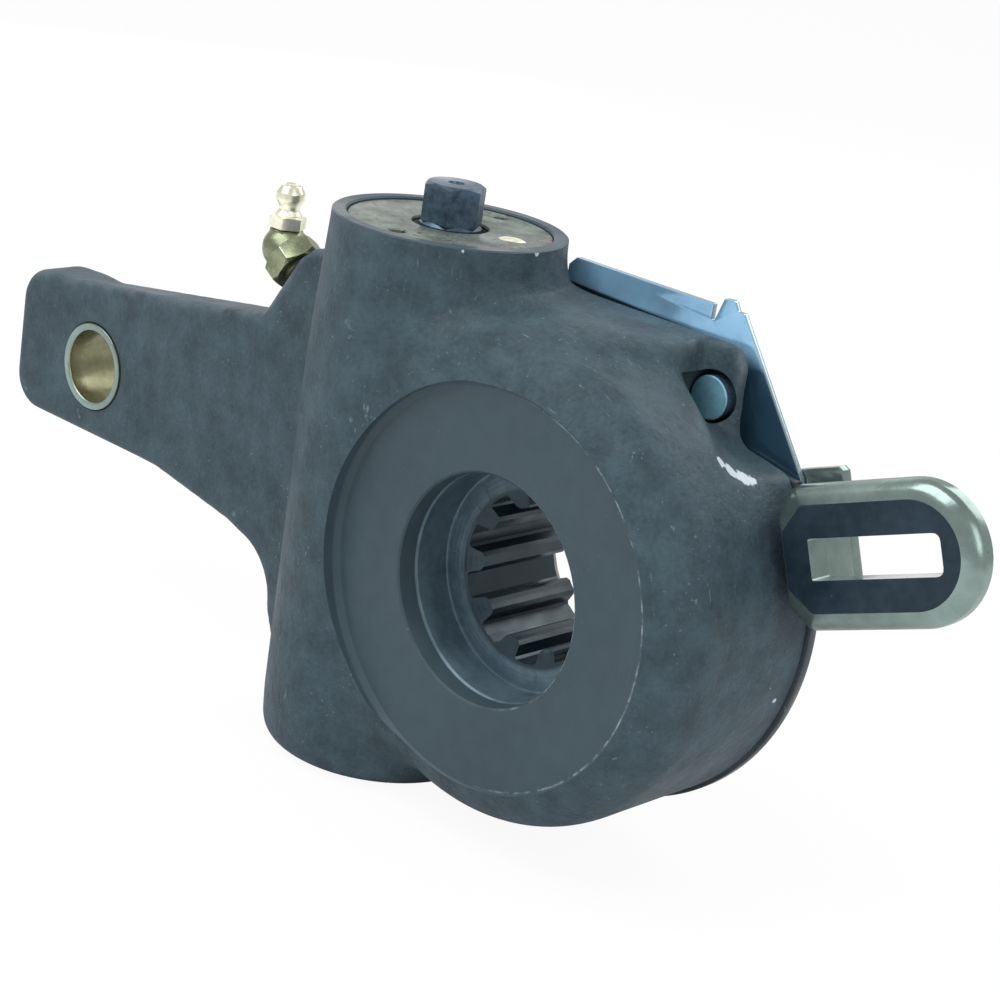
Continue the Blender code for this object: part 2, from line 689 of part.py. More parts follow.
def wheel_section(depth):
    """One slice through the worm wheel's teeth, throated to the worm."""
    offset = depth - TOWER_AXIS_DEPTH
    centre = WHEEL_PITCH_RADIUS + WORM_PITCH_RADIUS

    def reach(worm_radius):
        return centre - math.sqrt(max(worm_radius ** 2 - offset ** 2, 4.0))

    tip = min(WHEEL_MAX_RADIUS, reach(WORM_ROOT_RADIUS + TOOTH_CLEARANCE))
    pitch = min(tip - 0.6, reach(WORM_PITCH_RADIUS))
    root = min(pitch - 1.2, reach(WORM_TIP_RADIUS + TOOTH_CLEARANCE))
    turn_on_worm = math.asin(max(-0.9, min(0.9, offset / WORM_PITCH_RADIUS)))
    shift = WORM_LEAD * turn_on_worm / (2 * math.pi) / pitch
    half_gap = WORM_LEAD / 4 + WORM_BACKLASH / 2
    points = []
    for tooth in range(WHEEL_TEETH):
        middle = math.pi - shift + 2 * math.pi * tooth / WHEEL_TEETH
        half_pitch = math.pi / WHEEL_TEETH
        root_half = tooth_gap(root, pitch, half_gap)
        pitch_half = tooth_gap(pitch, pitch, half_gap)
        tip_half = min(half_pitch * 0.93, tooth_gap(tip, pitch, half_gap))
        for radius, angle in ((tip, -tip_half), (pitch, -pitch_half), (root, -root_half),
                              (root, root_half), (pitch, pitch_half), (tip, tip_half)):
            points.append((radius * math.cos(middle + angle), depth, radius * math.sin(middle + angle)))
    return points


def spline_outline():
    """Bore with parallel-sided grooves."""
    half_groove_out = math.asin(SPLINE_GROOVE_WIDTH / 2 / SPLINE_MAJOR_RADIUS)
    half_groove_in = math.asin(SPLINE_GROOVE_WIDTH / 2 / SPLINE_MINOR_RADIUS)
    half_pitch = math.pi / SPLINE_COUNT
    outline = []
    for groove in range(SPLINE_COUNT):
        middle = SPLINE_PHASE + half_pitch + 2 * math.pi * groove / SPLINE_COUNT
        for radius, angle in ((SPLINE_MINOR_RADIUS, -half_groove_in), (SPLINE_MAJOR_RADIUS, -half_groove_out),
                              (SPLINE_MAJOR_RADIUS, 0.0), (SPLINE_MAJOR_RADIUS, half_groove_out),
                              (SPLINE_MINOR_RADIUS, half_groove_in), (SPLINE_MINOR_RADIUS, half_pitch)):
            outline.append((radius * math.cos(middle + angle), radius * math.sin(middle + angle)))
    return outline


def make_worm_wheel():
    """Throated worm wheel with the splined camshaft bore."""
    depths = [WHEEL_FRONT + WHEEL_WIDTH * step / 4 for step in range(5)]
    wheel = loft("worm_wheel", [wheel_section(depth) for depth in depths])
    front = HUB_FRONT
    end = HOUSING_DEPTH + REAR_HUB_PROUD
    seal_floor = HUB_RADIUS_FRONT - 1.9
    middle = (front + WHEEL_FRONT) / 2 - 0.6
    hub = [(0.0, front), (HUB_RADIUS_FRONT - 0.6, front), (HUB_RADIUS_FRONT, front + 0.6)]
    hub += [(HUB_RADIUS_FRONT, middle - 1.3), (seal_floor, middle - 1.3), (seal_floor, middle + 1.3)]
    hub += [(HUB_RADIUS_FRONT, middle + 1.3), (HUB_RADIUS_FRONT, WHEEL_BACK + 0.6)]
    hub += [(REAR_HUB_RADIUS, WHEEL_BACK + 0.9), (REAR_HUB_RADIUS, end), (0.0, end)]
    combine(wheel, revolve("hub", hub, "y", segments=40), "UNION")
    mouth = [(0.0, front - 1.0), (COUNTERBORE_RADIUS, front - 1.0), (COUNTERBORE_RADIUS, COUNTERBORE_FLOOR)]
    mouth += [(0.0, COUNTERBORE_FLOOR)]
    combine(wheel, revolve("mouth", mouth, "y", segments=40), "DIFFERENCE")
    combine(wheel, prism("spline", spline_outline(), COUNTERBORE_FLOOR - 2.0, end + 1.0), "DIFFERENCE")
    return finish(wheel, BARE_STEEL, 0.8, 0.4, (0.0, TOWER_AXIS_DEPTH, 0.0))


def make_hub_seal():
    """O-ring that seals the front hub in the housing."""
    middle = (HUB_FRONT + WHEEL_FRONT) / 2 - 0.6
    inner = HUB_RADIUS_FRONT - 1.9 + 0.15
    outer = HUB_RADIUS_FRONT + 0.12
    half = 0.9
    profile = [(inner, middle), (inner + 0.5, middle - half), (outer - 0.5, middle - half)]
    profile += [(outer, middle), (outer - 0.5, middle + half), (inner + 0.5, middle + half)]
    return finish(revolve("hub_seal", profile, "y", segments=40), RUBBER, 0.0, 0.8)


def helix_thread():
    """The worm's single right-hand thread."""
    per_turn = 16
    turns = WORM_LENGTH / WORM_LEAD - 0.6
    count = int(per_turn * turns)
    slope = math.tan(PRESSURE_ANGLE)
    half_pitch_width = WORM_LEAD / 4 - WORM_BACKLASH / 4
    depth = WORM_ROOT_RADIUS - 1.0
    root_half = half_pitch_width + (WORM_PITCH_RADIUS - depth) * slope
    tip_half = half_pitch_width - WORM_MODULE * slope
    sections = []
    for step in range(count + 1):
        turn = 2 * math.pi * (step - count / 2) / per_turn
        height = WORM_LEAD * turn / (2 * math.pi)
        fade = min(1.0, 0.25 + step / 6, 0.25 + (count - step) / 6)
        tip = depth + (WORM_TIP_RADIUS - depth) * fade
        loop = []
        for radius, rise in ((depth, -root_half), (tip, -tip_half), (tip, tip_half), (depth, root_half)):
            loop.append((WORM_X + radius * math.cos(turn), TOWER_AXIS_DEPTH + radius * math.sin(turn), height + rise))
        sections.append(loop)
    return loft("thread", sections)


def make_worm_shaft():
    """Worm shaft with its thread, thrust collar, journals and hexagon."""
    collar_low = COLLAR_TOP - COLLAR_THICKNESS
    half = WORM_LENGTH / 2
    profile = [(0.0, BUSH_BOTTOM - 0.5), (JOURNAL_RADIUS - 0.8, BUSH_BOTTOM - 0.5), (JOURNAL_RADIUS, BUSH_BOTTOM + 0.3)]
    profile += [(JOURNAL_RADIUS, -half), (WORM_ROOT_RADIUS, -half + 1.5), (WORM_ROOT_RADIUS, half - 1.5)]
    profile += [(JOURNAL_RADIUS, half), (JOURNAL_RADIUS, collar_low), (COLLAR_RADIUS, collar_low)]
    profile += [(COLLAR_RADIUS, COLLAR_TOP), (JOURNAL_RADIUS, COLLAR_TOP), (JOURNAL_RADIUS, HEX_FOOT), (0.0, HEX_FOOT)]
    shaft = revolve("worm_shaft", profile, "z", WORM_AXIS, 24)
    combine(shaft, helix_thread(), "UNION")
    levels = [(HEX_FOOT - 1.0, 1.0), (HEX_TOP - 1.1, 1.0), (HEX_TOP, 0.86)]
    sections = []
    for height, share in levels:
        loop = arc(WORM_AXIS, HEX_RADIUS * share, 10, 310, 5)
        sections.append([(across, depth, height) for across, depth in loop])
    combine(shaft, loft("hexagon", sections), "UNION")
    centre_hole = [(0.0, HEX_TOP - 2.6), (1.4, HEX_TOP - 1.6), (2.2, HEX_TOP + 0.4), (0.0, HEX_TOP + 0.4)]
    combine(shaft, revolve("centre_hole", centre_hole, "z", WORM_AXIS, 12), "DIFFERENCE")
    return finish(shaft, DARK_STEEL, 0.7, 0.45, (WORM_X, TOWER_AXIS_DEPTH, 0.0))


def coil(name, mean_radius, wire, low, high, turns, sides, per_turn, square=False):
    """A round or square wire coil with closed, flattened ends."""
    count = int(turns * per_turn)
    sections = []
    for step in range(count + 1):
        share = step / count
        turn = 2 * math.pi * turns * share
        height = low + wire / 2 + (high - low - wire) * share
        loop = []
        for side in range(sides):
            angle = 2 * math.pi * (side + (0.5 if square else 0.0)) / sides
            reach = wire / 2 * (math.sqrt(2) if square else 1.0)
            radius = mean_radius + reach * math.cos(angle)
            rise = height + reach * math.sin(angle)
            loop.append((WORM_X + radius * math.cos(turn), TOWER_AXIS_DEPTH + radius * math.sin(turn), rise))
        sections.append(loop)
    return loft(name, sections)


def make_worm_spring():
    """Heavy spring that loads the worm against its clutch."""
    low = WASHER_TOP + GAP
    high = CAP_BOTTOM - GAP
    item = coil("worm_spring", SPRING_MEAN_RADIUS, SPRING_WIRE, low, high, SPRING_TURNS, 6, 12)
    return finish(item, DARK_STEEL, 0.8, 0.4)


def make_thrust_washer():
    """Washer between the worm's collar and the spring."""
    item = ring("thrust_washer", JOURNAL_RADIUS + RUNNING_GAP, WASHER_RADIUS, WASHER_BOTTOM, WASHER_TOP,
                "z", WORM_AXIS, 28)
    return finish(item, BARE_STEEL, 0.8, 0.4)


def make_end_cap():
    """Screwed cap that closes the tower, with two spanner holes."""
    bore = JOURNAL_RADIUS + GAP + SEAL_WALL + GAP
    edge = 0.8
    profile = [(bore, CAP_BOTTOM), (CAP_RADIUS, CAP_BOTTOM), (CAP_RADIUS, CAP_TOP - edge)]
    profile += [(CAP_RADIUS - edge, CAP_TOP), (bore, CAP_TOP)]
    cap = revolve("end_cap", profile, "z", WORM_AXIS, 36)
    for half_turn in (0, 180):
        angle = SPANNER_HOLE_ANGLE + half_turn
        centre = arc(WORM_AXIS, SPANNER_HOLE_REACH, angle, angle, 1)[0]
        cut_all(cap, [disc("spanner_hole", SPANNER_HOLE_RADIUS, CAP_TOP - CAP_THICKNESS / 2, CAP_TOP + 1.0,
                           "z", centre, 12)])
    return finish(cap, BARE_STEEL, 0.7, 0.55)


def make_shaft_seal():
    """Lip seal round the worm shaft, pressed into the end cap."""
    inner = JOURNAL_RADIUS + GAP
    outer = inner + SEAL_WALL
    top = CAP_TOP - SEAL_SINK
    lip = SEAL_WALL / 2
    profile = [(inner, top - SEAL_HEIGHT), (outer, top - SEAL_HEIGHT), (outer, top)]
    profile += [(inner + lip, top), (inner, top - lip)]
    return finish(revolve("shaft_seal", profile, "z", WORM_AXIS, 28), RUBBER, 0.0, 0.7)


def make_clutch_wheel():
    """Clutch wheel, keyed to the worm, with a conical friction rim."""
    hub_low = GEAR_TOP + GEAR_HUB_LENGTH + GAP
    inner = JOURNAL_RADIUS + GAP
    profile = [(inner, hub_low), (HUB_RADIUS, hub_low), (HUB_RADIUS, CLUTCH_BOTTOM)]
    profile += [(CLUTCH_RADIUS - CLUTCH_CONE, CLUTCH_BOTTOM), (CLUTCH_RADIUS, CLUTCH_TOP - 1.0)]
    profile += [(CLUTCH_RADIUS, CLUTCH_TOP), (inner, CLUTCH_TOP)]
    item = revolve("clutch_wheel", profile, "z", WORM_AXIS, 24)
    return finish(item, BARE_STEEL, 0.8, 0.4, (WORM_X, TOWER_AXIS_DEPTH, 0.0))


def gear_outline():
    """Spur gear with one tooth gap facing the rack's tooth."""
    half_gap = GEAR_MODULE * math.pi / 4 + GEAR_BACKLASH / 2
    tip = GEAR_PITCH_RADIUS + GEAR_MODULE
    root = GEAR_PITCH_RADIUS - GEAR_MODULE * 1.25
    outline = []
    for tooth in range(GEAR_TEETH):
        middle = math.pi / 2 + 2 * math.pi * tooth / GEAR_TEETH
        for radius, side in ((tip, -1), (GEAR_PITCH_RADIUS, -1), (root, -1),
                             (root, 1), (GEAR_PITCH_RADIUS, 1), (tip, 1)):
            angle = middle + side * tooth_gap(radius, GEAR_PITCH_RADIUS, half_gap, GEAR_FLANK_CURVE)
            outline.append((WORM_X + radius * math.cos(angle), TOWER_AXIS_DEPTH + radius * math.sin(angle)))
    return outline


def make_gear_wheel():
    """Gear wheel that the rack turns, free on the worm shaft."""
    gear = prism("gear_wheel", gear_outline(), GEAR_BOTTOM, GEAR_TOP, "z")
    top = GEAR_TOP + GEAR_HUB_LENGTH
    root = GEAR_PITCH_RADIUS - GEAR_MODULE * 1.25 - 0.4
    hub = [(0.0, GEAR_TOP - 2.0), (root, GEAR_TOP - 2.0), (root, GEAR_TOP - 0.1), (HUB_RADIUS, GEAR_TOP - 0.1)]
    hub += [(HUB_RADIUS, top), (0.0, top)]
    combine(gear, revolve("gear_hub", hub, "z", WORM_AXIS, 24), "UNION")
    bore = JOURNAL_RADIUS + RUNNING_GAP
    combine(gear, disc("gear_bore", bore, GEAR_BOTTOM - 1.0, top + 1.0, "z", WORM_AXIS, 24), "DIFFERENCE")
    return finish(gear, BARE_STEEL, 0.8, 0.4, (WORM_X, TOWER_AXIS_DEPTH, 0.0))


def make_clutch_spring():
    """Square wire one-way spring wrapped over the two hubs."""
    mean = HUB_RADIUS + GAP + CLUTCH_WIRE / 2
    low = GEAR_TOP + GAP
    high = CLUTCH_BOTTOM - GAP
    item = coil("clutch_spring", mean, CLUTCH_WIRE, low, high, CLUTCH_TURNS, 4, 14, square=True)
    return finish(item, DARK_STEEL, 0.8, 0.4, (WORM_X, TOWER_AXIS_DEPTH, 0.0))


def make_lower_bush():
    """Bush that carries the lower end of the worm shaft."""
    item = ring("lower_bush", JOURNAL_RADIUS + RUNNING_GAP, WORM_BORE_RADIUS - GAP, BUSH_BOTTOM, BUSH_TOP,
                "z", WORM_AXIS, 28)
    return finish(item, YELLOW_ZINC, 0.8, 0.4)


def make_lower_plug():
    """Pressed plug that closes the tower's foot."""
    top = BUSH_BOTTOM - 0.5 - GAP
    low = top - PLUG_THICKNESS
    radius = WORM_BORE_RADIUS - GAP
    profile = [(0.0, low + 1.2), (radius - 3.4, low + 1.2), (radius - 2.2, low), (radius, low), (radius, top), (0.0, top)]
    return finish(revolve("lower_plug", profile, "z", WORM_AXIS, 28), PALE_ZINC, 0.8, 0.4)


def make_rack():
    """Rack with a toothed end and the finger that sits in the disc's notch."""
    low = GEAR_BOTTOM
    high = GEAR_TOP - GAP - 0.1
    pitch = math.pi * GEAR_MODULE
    slope = math.tan(PRESSURE_ANGLE)
    half_tooth = pitch / 4 - GEAR_BACKLASH / 4
    tip = RACK_PITCH_Y - GEAR_MODULE
    root = RACK_PITCH_Y + GEAR_MODULE * 1.25
    tip_half = half_tooth - GEAR_MODULE * slope
    root_half = half_tooth + GEAR_MODULE * 1.25 * slope
    outline = [(WORM_X - RACK_LEFT, RACK_BACK), (WORM_X - RACK_LEFT, root)]
    for tooth in range(-2, 3):
        middle = WORM_X + tooth * pitch
        outline += [(middle - root_half, root), (middle - tip_half, tip), (middle + tip_half, tip),
                    (middle + root_half, root)]
    outline += [(RACK_RIGHT, root), (RACK_RIGHT, RACK_BACK)]
    rack = prism("rack", outline, low, high, "z")
    half = FINGER_WIDTH / 2
    tip_height = -FINGER_TIP_RADIUS
    finger = [(-half, high - 2.0), (half, high - 2.0)] + arc((0.0, tip_height - half), half, 0, 180, 6)
    combine(rack, prism("finger", finger, root + 0.2, RACK_BACK - 0.2), "UNION")
    return finish(rack, BARE_STEEL, 0.8, 0.4)


def make_control_disc():
    """Notched disc on a sleeve, turned by the control arm."""
    end = CONTROL_BACK
    profile = [(SLEEVE_INNER, DISC_FRONT), (DISC_RADIUS, DISC_FRONT), (DISC_RADIUS, DISC_BACK)]
    profile += [(SLEEVE_OUTER, DISC_BACK), (SLEEVE_OUTER, end), (SLEEVE_INNER, end)]
    item = revolve("control_disc", profile, "y", segments=40)
    half = NOTCH_WIDTH / 2
    notch = [(-half, -DISC_RADIUS - 2.0), (half, -DISC_RADIUS - 2.0), (half, -NOTCH_RADIUS), (-half, -NOTCH_RADIUS)]
    combine(item, prism("notch", notch, DISC_FRONT - 1.0, DISC_BACK + 1.0), "DIFFERENCE")
    return finish(item, BARE_STEEL, 0.8, 0.4)


def cover_outline():
    """Round cover with a lobe behind the ear."""
    line = [(COVER_TOP_START, EAR_TOP - COVER_LOBE_INSET)] + ear_side(COVER_LOBE_INSET)
    start = EAR_END_ANGLE - COVER_LOBE_INSET
    line += arc((0.0, 0.0), COVER_RADIUS, start, EAR_END_ANGLE - COVER_SWEEP, 38)
    return line


def make_rear_cover():
    """Sheet cover over the control disc, held by the cover screws."""
    cover = prism("rear_cover", cover_outline(), COVER_FRONT, COVER_BACK)
    holes = [disc("hub_hole", SEAL_OUTER + GAP, COVER_FRONT - 1.0, COVER_BACK + 1.0, segments=40)]
    holes.append(disc("ear_screw_hole", EAR_SCREW_NECK + GAP, COVER_FRONT - 1.0, COVER_BACK + 1.0,
                      centre=EAR_HOLE, segments=16))
    holes += [screw_room(angle, COVER_BACK) for angle in SCREW_ANGLES[:-1]]
    holes.append(disc("plate_screw_hole", SCREW_RADIUS + GAP, COVER_FRONT - 1.0, COVER_BACK + 1.0,
                      centre=screw_centre(SCREW_ANGLES[-1]), segments=16))
    cut_all(cover, holes)
    return finish(cover, DARK_STEEL, 0.5, 0.5)


def make_cover_seal():
    """Ring seal between the cover and the disc's sleeve."""
    item = ring("cover_seal", SLEEVE_OUTER + GAP, SEAL_OUTER, COVER_FRONT, COVER_BACK, segments=36)
    return finish(item, RUBBER, 0.0, 0.8)


def screw_centre(angle):
    """Where a cover screw stands."""
    return turned([(SCREW_CIRCLE, 0.0)], math.radians(angle))[0]


def screw_room(angle, back):
    """Countersunk clearance for a cover screw through the sheets."""
    wide = SCREW_HEAD_RADIUS + GAP
    narrow = SCREW_RADIUS + GAP
    profile = [(0.0, HOUSING_DEPTH), (narrow, HOUSING_DEPTH), (narrow, back - SCREW_HEAD_HEIGHT - 0.1)]
    profile += [(wide, back - 0.1), (wide, back + 1.0), (0.0, back + 1.0)]
    return revolve("screw_room", profile, "y", screw_centre(angle), 16)


def make_cover_screw(number, angle):
    """Countersunk socket screw that holds the rear cover."""
    centre = screw_centre(angle)
    end = (PLATE_BACK if angle == SCREW_ANGLES[-1] else COVER_BACK) - 0.1
    under = end - SCREW_HEAD_HEIGHT
    tip = HOUSING_DEPTH - SCREW_DEPTH
    profile = [(0.0, tip), (SCREW_RADIUS - 0.5, tip), (SCREW_RADIUS, tip + 0.6), (SCREW_RADIUS, under + 0.2)]
    profile += [(SCREW_HEAD_RADIUS, end), (0.0, end)]
    screw = revolve("cover_screw_%d" % number, profile, "y", centre, 16)
    socket = arc(centre, 1.7, 0, 300, 5)
    combine(screw, prism("socket", socket, end - 1.5, end + 1.0), "DIFFERENCE")
    return finish(screw, DARK_STEEL, 0.7, 0.4)


def plate_outline():
    """Guard plate with the notch and small tab at its top edge."""
    top = PLATE_TOP
    notch = top - PLATE_NOTCH_DEPTH
    line = [(PLATE_LEFT, EAR_ROOT), (PLATE_LEFT, top - 2.0), (PLATE_LEFT + 2.0, top), (PLATE_NOTCH_START, top)]
    line += [(PLATE_NOTCH_START, notch), (PLATE_NOTCH_START + 0.8, notch)]
    line += [(PLATE_TAB[0], PLATE_TAB_TOP), (PLATE_TAB[1], PLATE_TAB_TOP), (PLATE_TAB[1] + 1.2, top)]
    line += [(PLATE_CORNER, top), PLATE_SIDE_FOOT, (PLATE_SIDE_FOOT[0] + 2.7, PLATE_SIDE_FOOT[1] - 6.0)]
    line += [(PLATE_SIDE_FOOT[0], EAR_ROOT)]
    line += arc((0.0, 0.0), SEAL_OUTER + PLATE_HUB_MARGIN, 20, 150, 12)
    return line


def make_guard_plate():
    """Bright sheet plate behind the cover, held by the ear screw."""
    plate = prism("guard_plate", plate_outline(), PLATE_FRONT, PLATE_BACK)
    holes = [disc("ear_hole", EAR_SCREW_NECK + GAP, PLATE_FRONT - 1.0, PLATE_BACK + 1.0, centre=EAR_HOLE, segments=16)]
    holes.append(screw_room(SCREW_ANGLES[-1], PLATE_BACK))
    cut_all(plate, holes)
    return finish(plate, BLUE_ZINC, 0.8, 0.35)


def make_ear_screw():
    """Long screw whose end shows in the ear's hole."""
    tip = EAR_FRONT - EAR_SCREW_PROUD
    seat = PLATE_BACK + GAP
    end = seat + EAR_SCREW_HEAD_HEIGHT
    profile = [(0.0, tip), (EAR_SCREW_RADIUS - 0.5, tip), (EAR_SCREW_RADIUS, tip + 0.5), (EAR_SCREW_RADIUS, HOUSING_DEPTH)]
    profile += [(EAR_SCREW_NECK, HOUSING_DEPTH), (EAR_SCREW_NECK, seat)]
    profile += [(EAR_SCREW_HEAD_RADIUS, seat), (EAR_SCREW_HEAD_RADIUS, end - 0.6)]
    profile += [(EAR_SCREW_HEAD_RADIUS - 0.6, end), (0.0, end)]
    screw = revolve("ear_screw", profile, "y", EAR_HOLE, 20)
    socket = arc(EAR_HOLE, EAR_SCREW_RADIUS * 0.7, 0, 300, 5)
    combine(screw, prism("socket", socket, seat - EAR_SCREW_HEAD_HEIGHT, end + 1.0), "DIFFERENCE")
    return finish(screw, BLUE_ZINC, 0.8, 0.35)


def control_plan():
    """Flat rear part of the control arm: ring and strap, seen from the front."""
    half = CONTROL_HALF_WIDTH
    spread = math.degrees(math.asin(half / CONTROL_RING_RADIUS))
    line = arc((0.0, 0.0), CONTROL_RING_RADIUS, spread, 360 - spread, 32)
    bend = CONTROL_BEND - BEND_CHAMFER
    line += [(bend, -half), (CONTROL_BEND, -half + BEND_CHAMFER)]
    line += [(CONTROL_BEND, CONTROL_SHOULDER - BEND_CHAMFER)]
    line += [(bend, CONTROL_SHOULDER), (CONTROL_SHOULDER_START, CONTROL_SHOULDER)]
    return turned(line, CONTROL_ANGLE)


def eye_outline(inset):
    """Stadium outline of the slotted eye, drawn in by an inset."""
    half = CONTROL_HALF_WIDTH - inset
    end = EYE_REACH - CONTROL_HALF_WIDTH
    start = EYE_START + inset * 0.3
    line = [(start, -half + EYE_CORNER), (start + EYE_CORNER, -half)]
    line += arc((end, 0.0), half, -90, 90, 10)
    line += [(start + EYE_CORNER, half), (start, half - EYE_CORNER)]
    return turned(line, CONTROL_ANGLE)


def make_control_arm():
    """Control arm: ring, joggled strap and slotted anchor eye in one piece."""
    arm = prism("control_arm", control_plan(), CONTROL_FRONT, CONTROL_BACK)
    half = CONTROL_HALF_WIDTH - 2.0
    inner = CONTROL_BEND - ARM_PLATE_THICKNESS
    eye_back = EYE_FRONT + EYE_THICKNESS
    drop = turned([(inner, -half), (CONTROL_BEND, -half), (CONTROL_BEND, half), (inner, half)], CONTROL_ANGLE)
    strap = prism("strap", drop, eye_back - 2.0, CONTROL_BACK - 0.5)
    sections = []
    for inset, depth in ((EYE_BEVEL, EYE_FRONT), (0.0, EYE_FRONT + 2.5), (0.0, eye_back)):
        sections.append([(a, depth, b) for a, b in eye_outline(inset)])
    join_all(arm, [strap, loft("eye", sections)])
    corner = 1.6
    slot = [(SLOT_START, -SLOT_HALF_WIDTH)]
    slot += arc((SLOT_END - corner, -SLOT_HALF_WIDTH + corner), corner, -90, 0, 3)
    slot += arc((SLOT_END - corner, SLOT_HALF_WIDTH - corner), corner, 0, 90, 3)
    slot += [(SLOT_START, SLOT_HALF_WIDTH)]
    slot_tool = prism("slot", turned(slot, CONTROL_ANGLE), EYE_FRONT - 2.0, eye_back + 1.0)
    bore = disc("sleeve_hole", SLEEVE_OUTER + 0.3, CONTROL_FRONT - 1.0, CONTROL_BACK + 1.0, segments=40)
    cut_all(arm, [slot_tool, bore])
    return finish(arm, PALE_ZINC, 0.8, 0.35)


def make_grease_elbow():
    """Elbow body of the grease fitting, screwed into the lug."""
    face = ELBOW_STAND_OFF
    end = face + ELBOW_LENGTH
    radius = ELBOW_ACROSS_FLATS / math.sqrt(3)
    elbow = lug_turning("grease_elbow", [(-STUD_DEPTH, STUD_RADIUS - 0.6), (0.6 - STUD_DEPTH, STUD_RADIUS),
                                         (face + 1.0, STUD_RADIUS)], 12)
    block = lug_turning("block", [(face, radius - 0.8), (face + 0.8, radius), (end - 0.8, radius),
                                  (end, radius - 0.8)], 6)
    stages = [(end - 2.0, DOME_RADIUS - 0.3)]
    for step in range(6):
        turn = math.radians(15 * step)
        stages.append((face + DOME_SET + DOME_RADIUS * math.sin(turn), DOME_RADIUS * math.cos(turn)))
    centre = (NIPPLE_X, LUG_DEPTH)
    outlet = disc("outlet", OUTLET_RADIUS, OUTLET_TOP - OUTLET_LENGTH, OUTLET_TOP + 1.0, "z", centre, 16)
    join_all(elbow, [block, lug_turning("dome", stages, 12), outlet])
    combine(elbow, disc("seat", OUTLET_RADIUS * 2, OUTLET_TOP, OUTLET_TOP + 8.0, "z", centre, 16), "DIFFERENCE")
    return finish(elbow, YELLOW_ZINC, 0.8, 0.35)


def make_grease_nipple():
    """Ball-headed grease nipple with a hexagonal collar, standing in the elbow."""
    base = OUTLET_TOP + GAP
    top = base + NIPPLE_COLLAR
    centre = (NIPPLE_X, LUG_DEPTH)
    profile = [(0.0, top - 1.0), (3.2, top - 1.0), (3.2, top), (2.7, top + 1.4), (2.7, top + 2.2)]
    profile += [(3.5, top + 3.9), (3.5, top + 5.4), (2.6, top + 7.0), (1.6, top + 7.5), (0.0, top + 7.5)]
    nipple = revolve("grease_nipple", profile, "z", centre, 20)
    sections = []
    for height, share in ((base, 1.0), (top - 0.6, 1.0), (top - 0.1, 0.86)):
        sections.append([(across, depth, height) for across, depth in arc(centre, NIPPLE_RADIUS * share, 0, 300, 5)])
    combine(nipple, loft("collar", sections), "UNION")
    return finish(nipple, YELLOW_ZINC, 0.8, 0.35)


def build():
    """Makes every node."""
    clear_scene()
    make_housing()
    make_clevis_bushing()
    make_worm_wheel()
    make_hub_seal()
    make_worm_shaft()
    make_clutch_wheel()
    make_gear_wheel()
    make_clutch_spring()
    make_worm_spring()
    make_thrust_washer()
    make_end_cap()
    make_shaft_seal()
    make_lower_bush()
    make_lower_plug()
    make_rack()
    make_control_disc()
    make_control_arm()
    make_rear_cover()
    make_cover_seal()
    make_guard_plate()
    make_ear_screw()
    for number, angle in enumerate(SCREW_ANGLES, start=1):
        make_cover_screw(number, angle)
    make_grease_elbow()
    make_grease_nipple()


build()
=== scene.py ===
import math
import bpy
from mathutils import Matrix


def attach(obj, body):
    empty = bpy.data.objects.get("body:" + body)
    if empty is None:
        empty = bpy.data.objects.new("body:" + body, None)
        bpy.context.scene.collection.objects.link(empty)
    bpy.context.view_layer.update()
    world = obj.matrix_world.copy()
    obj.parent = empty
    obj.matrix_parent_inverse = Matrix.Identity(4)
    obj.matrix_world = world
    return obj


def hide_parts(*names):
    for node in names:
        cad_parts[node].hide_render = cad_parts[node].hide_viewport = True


bl_info = {
    "name": "Brake slack adjuster",
    "version": (1, 0, 0),
    "blender": (4, 5, 0),
    "location": "View3D > Sidebar > Slack adjuster",
    "description": "Dresses a brake slack adjuster with its detailed pieces and finishes",
    "category": "Object",
}

import bmesh
import bpy
import numpy as np
from mathutils import Matrix, Vector

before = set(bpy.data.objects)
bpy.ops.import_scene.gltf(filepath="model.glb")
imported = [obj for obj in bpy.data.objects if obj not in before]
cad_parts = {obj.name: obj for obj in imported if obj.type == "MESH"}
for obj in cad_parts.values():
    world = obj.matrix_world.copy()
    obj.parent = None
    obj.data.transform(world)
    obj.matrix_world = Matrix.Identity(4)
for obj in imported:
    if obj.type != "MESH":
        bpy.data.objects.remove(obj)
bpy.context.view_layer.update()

MM = 0.001
TURN = 2 * math.pi
WELD = 1e-6
EVEN_BEFORE = 26
EVEN_AFTER = 6
SOLVER = "MANIFOLD"

# Housing, in millimetres
BOSS_RADIUS = 43.4
DRUM_RADIUS = 53
DRUM_SHOULDER = 12
DEPTH = 43
WEB_FRONT = -2.4
TOWER_X = -46.3
TOWER_Y = 24
TOWER_TOP = 67.1
TOWER_BOTTOM = -59
TOWER_RADIUS = 28
TOWER_TOP_RADIUS = 26.45
TAPER_START = 34
ARM_HOLE_X = -155.4
ARM_HOLE_Z = 2.2
ARM_FRONT = 16
ARM_BACK = 30
EAR_X = 20.1
EAR_Z = 44.9
EAR_TOP = 56.5
EAR_RIGHT = 26.2
EAR_CORNER = 5
EAR_FOOT_Z = 40
EAR_FRONT = 41
EAR_HOLE = 5.9
EAR_SCREW_ROOM = 3.5
LUG_FACE = (-89.5, 42.5)
LUG_ANGLE = math.radians(148)

# Bores and seats
MOUTH_RADIUS = 25.2
LIP = 5
HUB_ROOM = 29.9
CAVITY = 41
WORM_BORE = 15
SPRING_BORE = 19
SPRING_FLOOR = 29.9
CAP_RADIUS = 23.1
CAP_TOP = 66.5
CAP_BOTTOM = 57.5
SPANNER = (-2.2, 18.6)
RUNNING = 0.3
FIT = 0.05

